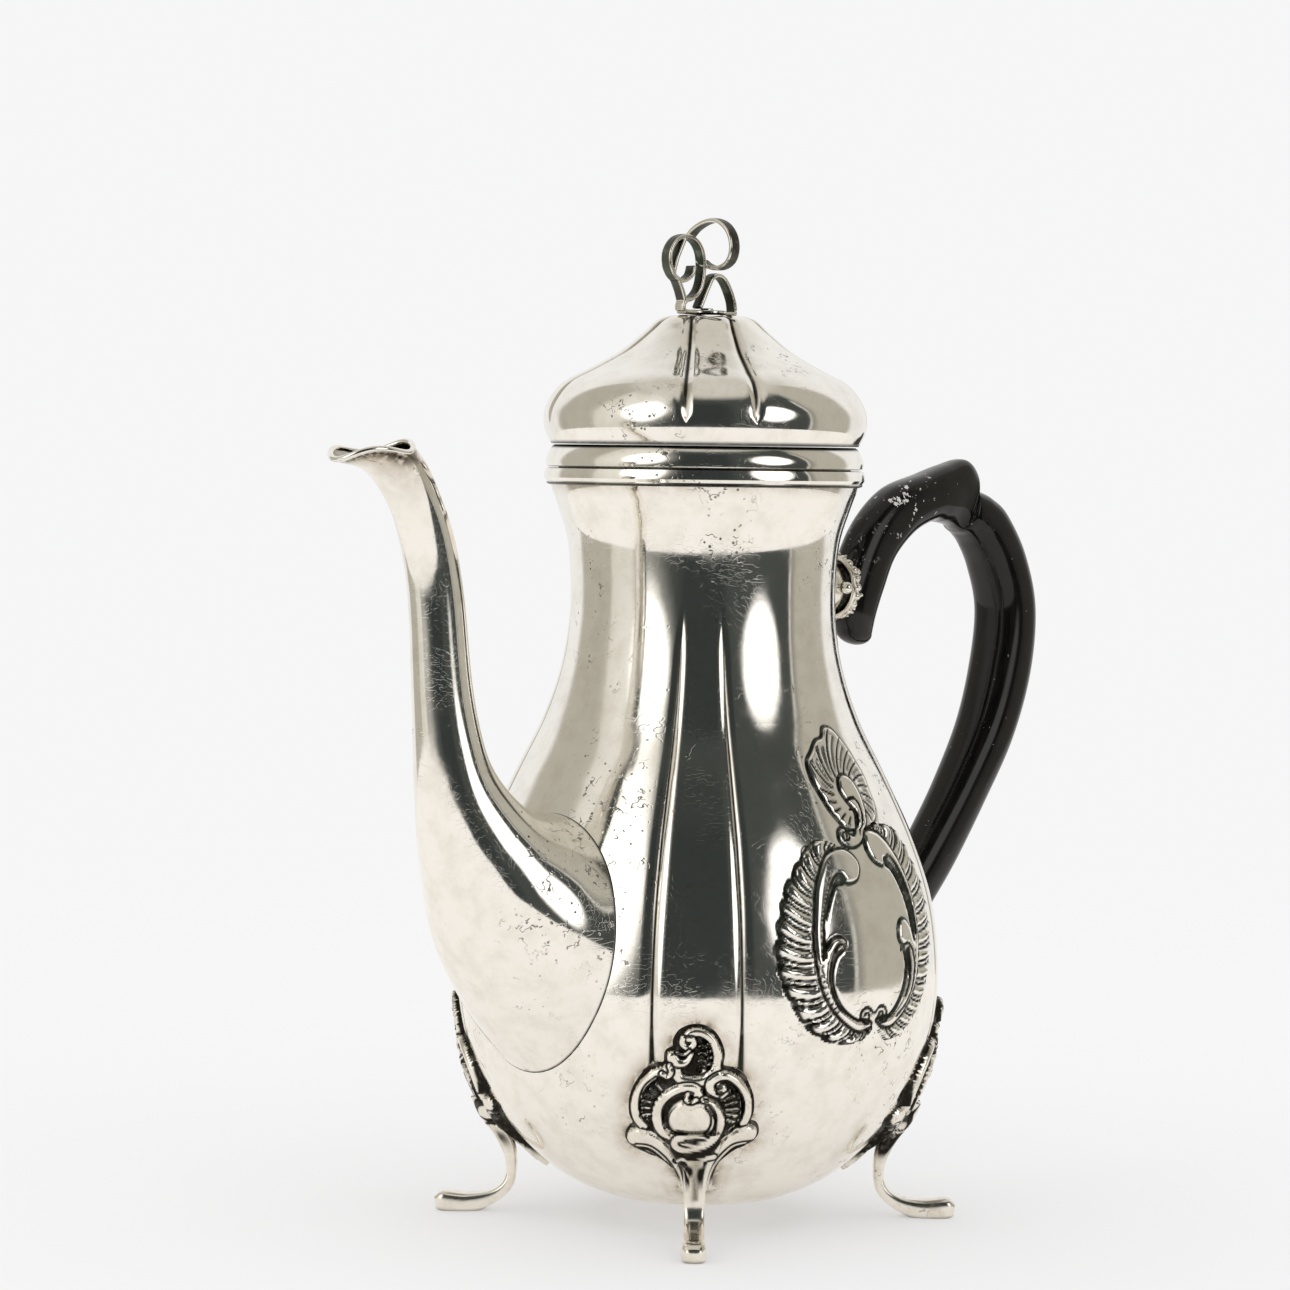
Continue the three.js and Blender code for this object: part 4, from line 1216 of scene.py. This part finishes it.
class Graph:
    """Adds nodes to a tree. Inputs are given by name or number, as a socket or a plain value."""

    def __init__(self, tree):
        self.tree = tree
        tree.nodes.clear()

    def add(self, kind, inputs=(), output=0, **settings):
        node = self.tree.nodes.new(kind)
        for key, value in settings.items():
            setattr(node, key, value)
        for key, value in dict(inputs).items():
            if isinstance(value, bpy.types.NodeSocket):
                self.tree.links.new(value, node.inputs[key])
            else:
                node.inputs[key].default_value = value
        return node.outputs[output] if len(node.outputs) else node

    def math(self, operation, a, b=0.0, c=0.0):
        return self.add("ShaderNodeMath", {0: a, 1: b, 2: c}, operation=operation)

    def ramp(self, value, low, high, start=0.0, end=1.0):
        """The value carried from [low, high] to [start, end], smoothly and no further."""
        inputs = {"Value": value, "From Min": low, "From Max": high, "To Min": start, "To Max": end}
        return self.add("ShaderNodeMapRange", inputs, interpolation_type="SMOOTHSTEP")

    def mix(self, factor, a, b):
        return self.add("ShaderNodeMix", {"Factor": factor, 6: a, 7: b}, output=2, data_type="RGBA")

    def noise(self, coords, scale, detail=3.0, rough=0.5, stretch=(1, 1, 1), turn=(0, 0, 0)):
        spot = self.add("ShaderNodeMapping", {"Vector": coords, "Scale": stretch, "Rotation": turn})
        inputs = {"Vector": spot, "Scale": scale, "Detail": detail, "Roughness": rough}
        return self.add("ShaderNodeTexNoise", inputs)

    def hairlines(self, coords, scale, stretch, turn, width):
        """Thin broken lines: the places where a stretched noise crosses its middle."""
        field = self.noise(coords, scale, 1.0, 0.4, stretch, turn)
        gap = self.math("ABSOLUTE", self.math("SUBTRACT", field, 0.5))
        line = self.ramp(gap, 0, width, 1, 0)
        return self.math("MULTIPLY", line, self.ramp(self.noise(coords, scale * 0.6, 1.0), 0.5, 0.62))


def colour(r, g, b):
    return (r, g, b, 1)


def silver(name, tint, roughness, tarnish, pits, dents, occlusion_shade=0.0, green=0.0):
    """Metal with smudges, hair scratches, pits, soft dents, brown bloom, black tarnish in its crevices, and
    painted shade in the creases and where ambient occlusion finds hollows.
    """
    material = bpy.data.materials.new(name)
    material.use_nodes = True
    g = Graph(material.node_tree)
    coords = g.add("ShaderNodeTexCoord", output=3)
    patina_and_shade = g.add("ShaderNodeAttribute", output=2, attribute_name="patina_and_shade")
    bloom = g.add("ShaderNodeAttribute", output=2, attribute_name="tarnish")
    cloud = g.noise(coords, 45, 4)
    fine = g.noise(coords, 420, 3)
    mottle = g.noise(coords, 150, 5, 0.65)
    scratches = g.math("MAXIMUM", g.hairlines(coords, 90, (1, 6, 9), (0.5, 0.2, 0.9), 0.012),
                       g.hairlines(coords, 110, (8, 1, 5), (0.9, 0.7, 0.1), 0.01))
    dots = g.add("ShaderNodeTexVoronoi", {"Vector": coords, "Scale": 560.0, "Randomness": 1.0})
    patch = g.ramp(g.noise(coords, 30, 3), 0.51, 0.65)
    speckle = g.math("MULTIPLY", g.ramp(dots, 0.12, 0.26, 1, 0), g.ramp(fine, 0.5, 0.58))
    worm = g.ramp(g.math("ABSOLUTE", g.math("SUBTRACT", g.noise(coords, 300, 2), 0.5)), 0, 0.028, 1, 0)
    worm = g.math("MULTIPLY", worm, g.ramp(g.noise(coords, 210, 2), 0.54, 0.6))
    pitting = g.math("MULTIPLY", g.math("MAXIMUM", speckle, worm), g.math("MULTIPLY", patch, pits))
    grime = g.math("MULTIPLY", g.ramp(mottle, 0.38, 0.75), tarnish)
    brown = g.math("MULTIPLY", bloom, g.ramp(mottle, 0.3, 0.62, 0.25, 1))
    worn = g.mix(g.math("MAXIMUM", grime, brown), tint, colour(0.42, 0.33, 0.22))
    black = g.math("MULTIPLY", g.ramp(patina_and_shade, 0.08, 0.7), g.ramp(fine, 0.1, 0.5, 0.75, 1))
    black = g.math("MAXIMUM", black, g.math("MULTIPLY", g.ramp(bloom, 0.45, 0.9), g.ramp(mottle, 0.5, 0.58)))
    stain_and_shade = g.math("MAXIMUM", black, pitting)
    # Painted shade: the base colour darkens where ambient occlusion finds hollows.
    if occlusion_shade:
        hollow = g.add("ShaderNodeAmbientOcclusion", {"Distance": 0.0016}, output=1, samples=8)
        stain_and_shade = g.math("MAXIMUM", stain_and_shade, g.ramp(hollow, 0.2, 0.75, occlusion_shade, 0))
    # Near-black, greenish in places: the colour of the tarnish, and of the painted shade in creases and
    # hollows.
    dirt = g.mix(g.ramp(cloud, 0.4, 0.6, 0, green), colour(0.022, 0.019, 0.015), colour(0.08, 0.105, 0.08))
    base = g.mix(stain_and_shade, worn, dirt)
    smooth = g.ramp(cloud, 0.3, 0.75, roughness * 0.7, roughness * 1.4)
    rough = g.math("ADD", smooth, g.math("MULTIPLY", scratches, 0.06))
    rough = g.math("ADD", rough, g.math("MULTIPLY", g.math("MAXIMUM", stain_and_shade, grime), 0.3))
    waves = g.noise(coords, 26, 2)
    height = g.math("ADD", g.math("MULTIPLY", waves, dents), g.math("MULTIPLY", cloud, dents * 0.3))
    height = g.math("SUBTRACT", height, g.math("MULTIPLY", scratches, 0.004))
    height = g.math("SUBTRACT", height, g.math("MULTIPLY", pitting, 0.04))
    height = g.math("ADD", height, g.math("MULTIPLY", fine, 0.0035))
    height = g.math("ADD", height, g.math("MULTIPLY", mottle, 0.008))
    normal = g.add("ShaderNodeBump", {"Height": height, "Distance": 0.001, "Strength": 1.0})
    surface = g.add("ShaderNodeBsdfPrincipled", {
        "Base Color": base, "Metallic": 1.0, "Roughness": rough, "Normal": normal,
    })
    g.add("ShaderNodeOutputMaterial", {"Surface": surface})
    return material


def ebony():
    """Black polished wood: faint long grain, a soft sheen, and a few pale chips at the top of the loop."""
    material = bpy.data.materials.new("ebony_wood")
    material.use_nodes = True
    g = Graph(material.node_tree)
    coords = g.add("ShaderNodeTexCoord", output=3)
    grain = g.noise(coords, 120, 5, 0.6, (1, 9, 1), (0, 0.5, 0))
    cloud = g.noise(coords, 60, 3)
    flecks = g.noise(coords, 900, 2, 0.5)
    height = g.add("ShaderNodeSeparateXYZ", {"Vector": coords}, output=2)
    along = g.add("ShaderNodeSeparateXYZ", {"Vector": coords}, output=0)
    crown = g.math("MULTIPLY", g.ramp(height, 0.168, 0.174), g.ramp(along, 0.058, 0.066))
    crown = g.math("MULTIPLY", crown, g.ramp(along, 0.076, 0.084, 1, 0))
    chips = g.math("MULTIPLY", g.ramp(g.noise(coords, 330, 3, 0.7), 0.6, 0.62), crown)
    shoulder = g.math("MULTIPLY", g.ramp(height, 0.160, 0.166), g.ramp(along, 0.056, 0.060, 0.3, 0))
    dirt = g.math("MULTIPLY", g.ramp(g.noise(coords, 520, 3, 0.7), 0.6, 0.64), shoulder)
    dust = g.math("MULTIPLY", g.ramp(flecks, 0.74, 0.77), 0.35)
    chips = g.math("MAXIMUM", chips, g.math("MAXIMUM", dirt, dust))
    dark = g.mix(g.ramp(grain, 0.35, 0.7), colour(0.002, 0.0018, 0.0018), colour(0.007, 0.0055, 0.005))
    base = g.mix(chips, dark, colour(0.62, 0.6, 0.56))
    rough = g.math("ADD", g.ramp(cloud, 0.3, 0.7, 0.1, 0.17), g.math("MULTIPLY", chips, 0.4))
    relief = g.math("ADD", g.math("MULTIPLY", grain, 0.01), g.math("MULTIPLY", cloud, 0.12))
    relief = g.math("SUBTRACT", relief, g.math("MULTIPLY", chips, 0.15))
    normal = g.add("ShaderNodeBump", {"Height": relief, "Distance": 0.001, "Strength": 0.7})
    surface = g.add("ShaderNodeBsdfPrincipled", {
        "Base Color": base, "Roughness": rough, "Normal": normal, "Metallic": 0.0, "IOR": 1.5,
        "Specular IOR Level": 0.36,
    })
    g.add("ShaderNodeOutputMaterial", {"Surface": surface})
    return material


POLISHED = silver("polished_silver", colour(0.955, 0.925, 0.87), 0.07, 0.2, 0.9, 0.18, 0.5, 0.35)
CAST = silver("cast_silver", colour(0.92, 0.88, 0.8), 0.17, 0.3, 0.5, 0.1, 0.5)
SOLDERED = silver("soldered_silver", colour(0.88, 0.85, 0.78), 0.14, 0.45, 0.5, 0.1, 0.9, 0.8)
EBONY = ebony()


def dress(piece, material, slot, body_name, *nodes):
    """Gives a piece its material, says what it rides on, and hides the CAD parts it stands for."""
    piece.data.materials.clear()
    piece.data.materials.append(material)
    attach(piece, body_name)
    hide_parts(*nodes)
    return piece


# ---- The pot ----

dress(strainer(body()), POLISHED, "polished_silver", "pot", "body_shell")
dress(spun("base", BASE_PLATE), POLISHED, "polished_silver", "pot", "base_plate")
mouth_moulding = grime_line(spun("mouth_moulding", MOUTH_BAND), MOUTH_BAND[0][1], 0.7)
dress(mouth_moulding, POLISHED, "polished_silver", "pot", "mouth_band")
dress(spout(), POLISHED, "polished_silver", "pot", "spout_shell")
dress(tube("spout_lip", lip_edge(0.4), 0.72), POLISHED, "polished_silver", "pot", "spout_lip_wire")
first_leg = leg()
for node, azimuth in LEGS.items():
    cast = bpy.data.objects.new(node + "_cast", first_leg.data.copy())
    cast.data.transform(Matrix.Rotation(math.radians(azimuth), 4, "Z"))
    bpy.context.scene.collection.objects.link(cast)
    dress(cast, CAST, "cast_silver", "pot", node)
bpy.data.objects.remove(first_leg)
for name, socket in (("upper_socket", UPPER_SOCKET), ("lower_socket", LOWER_SOCKET)):
    dress(socket_cup(name + "_cup", socket), SOLDERED, "cast_silver", "pot", name)
    dress(bead_ring(name + "_ring", socket), SOLDERED, "cast_silver", "pot", name + "_beads")
    dress(pin(name + "_peg", socket), SOLDERED, "cast_silver", "pot", name + "_pin")
dress(handle(), EBONY, "ebony", "pot", "handle")

# ---- The lid ----

dress(lid_dome(), POLISHED, "polished_silver", "lid", "lid_dome")
lid_moulding = grime_line(spun("lid_moulding", LID_RIM), LID_RIM[-1][1], 0.8)
dress(lid_moulding, POLISHED, "polished_silver", "lid", "lid_rim")
dress(spun("lid_collar", LID_BEZEL), POLISHED, "polished_silver", "lid", "lid_bezel")
dress(spun("finial_base", FINIAL_PLATE), SOLDERED, "cast_silver", "lid", "finial_plate")
dress(finial_scrolls(), SOLDERED, "cast_silver", "lid", "finial_scrolls")
dress(rod("finial_screw", 1.3, 220.6, 227.3), SOLDERED, "cast_silver", "lid", "finial_stud")
dress(spun("finial_hex", FINIAL_NUT, 6), SOLDERED, "cast_silver", "lid", "finial_nut")

# ---- Camera ----

CAMERA_SPOT = (-0.7135, -0.7135, 0.190)
CAMERA_HEADING = math.radians(45.8133)
CAMERA_PITCH = math.radians(-2.6477)
CAMERA_ROLL = math.radians(0.7584)
SENSOR_WIDTH, LENS = 36, 112.4


def camera():
    forward = Vector((
        math.cos(CAMERA_PITCH) * math.cos(CAMERA_HEADING),
        math.cos(CAMERA_PITCH) * math.sin(CAMERA_HEADING),
        math.sin(CAMERA_PITCH),
    ))
    right = forward.cross(Vector((0, 0, 1))).normalized()
    up = right.cross(forward)
    level_right, level_up = right.copy(), up.copy()
    right = level_right * math.cos(CAMERA_ROLL) + level_up * math.sin(CAMERA_ROLL)
    up = level_up * math.cos(CAMERA_ROLL) - level_right * math.sin(CAMERA_ROLL)
    turn = Matrix((right, up, -forward)).transposed().to_4x4()
    data = bpy.data.cameras.new("camera")
    data.sensor_width = SENSOR_WIDTH
    data.lens = LENS
    data.clip_start = 0.01
    eye = bpy.data.objects.new("camera", data)
    eye.matrix_world = Matrix.Translation(Vector(CAMERA_SPOT)) @ turn
    bpy.context.scene.collection.objects.link(eye)
    bpy.context.scene.camera = eye


# ---- Studio: a light tent round the pot, open and dark towards the front ----

BACKDROP = 0.922
BACKDROP_COLOUR = colour(BACKDROP, BACKDROP, BACKDROP * 1.008)
FLOOR_R, TABLE_R, TABLE_Z = 6, 0.68, 0.00003
FRONT = math.radians(225)
# Panels of the tent, drawn from back to front: degrees from the front (left is negative), height
# in degrees, softness of the edges, colour.
PANELS = [
    ((-128, 125), (-90, 62), (4, 6), (0.46, 0.44, 0.38)),
    ((-86, 84), (-90, 58), (2, 6), (0.68, 0.66, 0.59)),
    ((-34, 84), (-90, 58), (4, 5), (0.06, 0.066, 0.062)),
    ((-62, -30), (-90, 3), (3, 2), (0.06, 0.066, 0.064)),
    ((79.5, 82), (-16, 44), (0.7, 3), (0.6, 0.58, 0.53)),
    ((-20, 20), (-90, 48), (6, 8), (0.036, 0.042, 0.041)),
]
# Oval softboxes and the glow beside one: centre, radii, softness as a share, colour.
OVALS = [
    ((-56, 24), (26, 34), 0.5, (0.82, 0.8, 0.74)),
    ((-46, 21), (17, 25), 0.22, (1.6, 1.58, 1.54)),
    ((51.5, 17.5), (16.5, 20), 0.16, (1.6, 1.58, 1.54)),
]


def window(g, value, span, soft):
    rise = g.ramp(value, span[0] - soft, span[0] + soft)
    fall = g.ramp(value, span[1] - soft, span[1] + soft, 1, 0)
    return g.math("MULTIPLY", rise, fall)


def studio():
    world = bpy.data.worlds.new("studio")
    world.use_nodes = True
    bpy.context.scene.world = world
    g = Graph(world.node_tree)
    way = g.add("ShaderNodeTexCoord", output=0)
    forward = g.add("ShaderNodeVectorMath", {0: way, 1: (math.cos(FRONT), math.sin(FRONT), 0)}, output=1,
                    operation="DOT_PRODUCT")
    aside = g.add("ShaderNodeVectorMath", {0: way, 1: (-math.sin(FRONT), math.cos(FRONT), 0)}, output=1,
                  operation="DOT_PRODUCT")
    rise = g.add("ShaderNodeSeparateXYZ", {"Vector": way}, output=2)
    heading = g.math("DEGREES", g.math("ARCTAN2", aside, forward))
    height = g.math("DEGREES", g.math("ARCSINE", rise))
    tent = g.mix(g.ramp(height, 35, 70), colour(0.88, 0.875, 0.86), colour(0.62, 0.6, 0.55))
    for across, up, soft, shade in PANELS:
        held = g.math("MULTIPLY", window(g, heading, across, soft[0]), window(g, height, up, soft[1]))
        tent = g.mix(held, tent, colour(*shade))
    for centre, radii, soft, shade in OVALS:
        across = g.math("DIVIDE", g.math("SUBTRACT", heading, centre[0]), radii[0])
        up = g.math("DIVIDE", g.math("SUBTRACT", height, centre[1]), radii[1])
        reach = g.math("SQRT", g.math("ADD", g.math("MULTIPLY", across, across), g.math("MULTIPLY", up, up)))
        tent = g.mix(g.ramp(reach, 1 - soft, 1 + soft, 1, 0), tent, colour(*shade))
    seen = g.add("ShaderNodeLightPath", output="Is Camera Ray")
    diffuse = g.add("ShaderNodeLightPath", output="Is Diffuse Ray")
    tent = g.mix(diffuse, tent, colour(1.08, 1.08, 1.08))
    tent = g.mix(seen, tent, BACKDROP_COLOUR)
    sky = g.add("ShaderNodeBackground", {"Color": tent, "Strength": 1.0})
    g.add("ShaderNodeOutputWorld", {"Surface": sky})


def disc(name, radius, z):
    mesh = bpy.data.meshes.new(name)
    turns = np.linspace(0, 2 * math.pi, 96, endpoint=False)
    mesh.from_pydata([(radius * math.cos(a), radius * math.sin(a), z) for a in turns], [], [list(range(96))])
    piece = bpy.data.objects.new(name, mesh)
    bpy.context.scene.collection.objects.link(piece)
    return piece


def floor():
    """A white floor that glows in part, lifting the shadows under the pot, and fades into the backdrop; and
    the smaller table top that the silver reflects, which glows in part too.
    """
    sheet = disc("floor", FLOOR_R, 0)
    sheet.visible_glossy = False
    material = bpy.data.materials.new("floor_paper")
    material.use_nodes = True
    g = Graph(material.node_tree)
    coords = g.add("ShaderNodeTexCoord", output=3)
    reach = g.add("ShaderNodeVectorMath", {0: coords}, output=1, operation="LENGTH")
    far = g.ramp(reach, 0.1, 1.0, 0.4, 1)
    paper = g.add("ShaderNodeBsdfDiffuse", {"Color": colour(0.9, 0.9, 0.905)})
    # The floor glows in part: 40% near the pot, which lifts its shadows, rising to all glow far out.
    glow = g.add("ShaderNodeEmission", {"Color": BACKDROP_COLOUR, "Strength": 1.0})
    blend = g.add("ShaderNodeMixShader", {0: far, 1: paper, 2: glow})
    g.add("ShaderNodeOutputMaterial", {"Surface": blend})
    sheet.data.materials.append(material)
    top = disc("table_top", TABLE_R, TABLE_Z)
    for name in ("visible_camera", "visible_diffuse", "visible_shadow", "visible_transmission"):
        setattr(top, name, False)
    white = bpy.data.materials.new("table_white")
    white.use_nodes = True
    g = Graph(white.node_tree)
    paint = g.add("ShaderNodeBsdfDiffuse", {"Color": colour(0.9, 0.88, 0.85)})
    # The table top glows in part, so its reflection in the silver is lighter than its lit paint alone.
    table_glow = g.add("ShaderNodeEmission", {"Color": colour(0.97, 0.95, 0.92), "Strength": 1.0})
    blend = g.add("ShaderNodeMixShader", {0: 0.45, 1: paint, 2: table_glow})
    g.add("ShaderNodeOutputMaterial", {"Surface": blend})
    top.data.materials.append(white)


camera()
studio()
floor()
bpy.context.scene.view_settings.view_transform = "Standard"
bpy.context.scene.view_settings.look = "None"


def plain(box):
    return [[float(v) for v in corner] for corner in box]
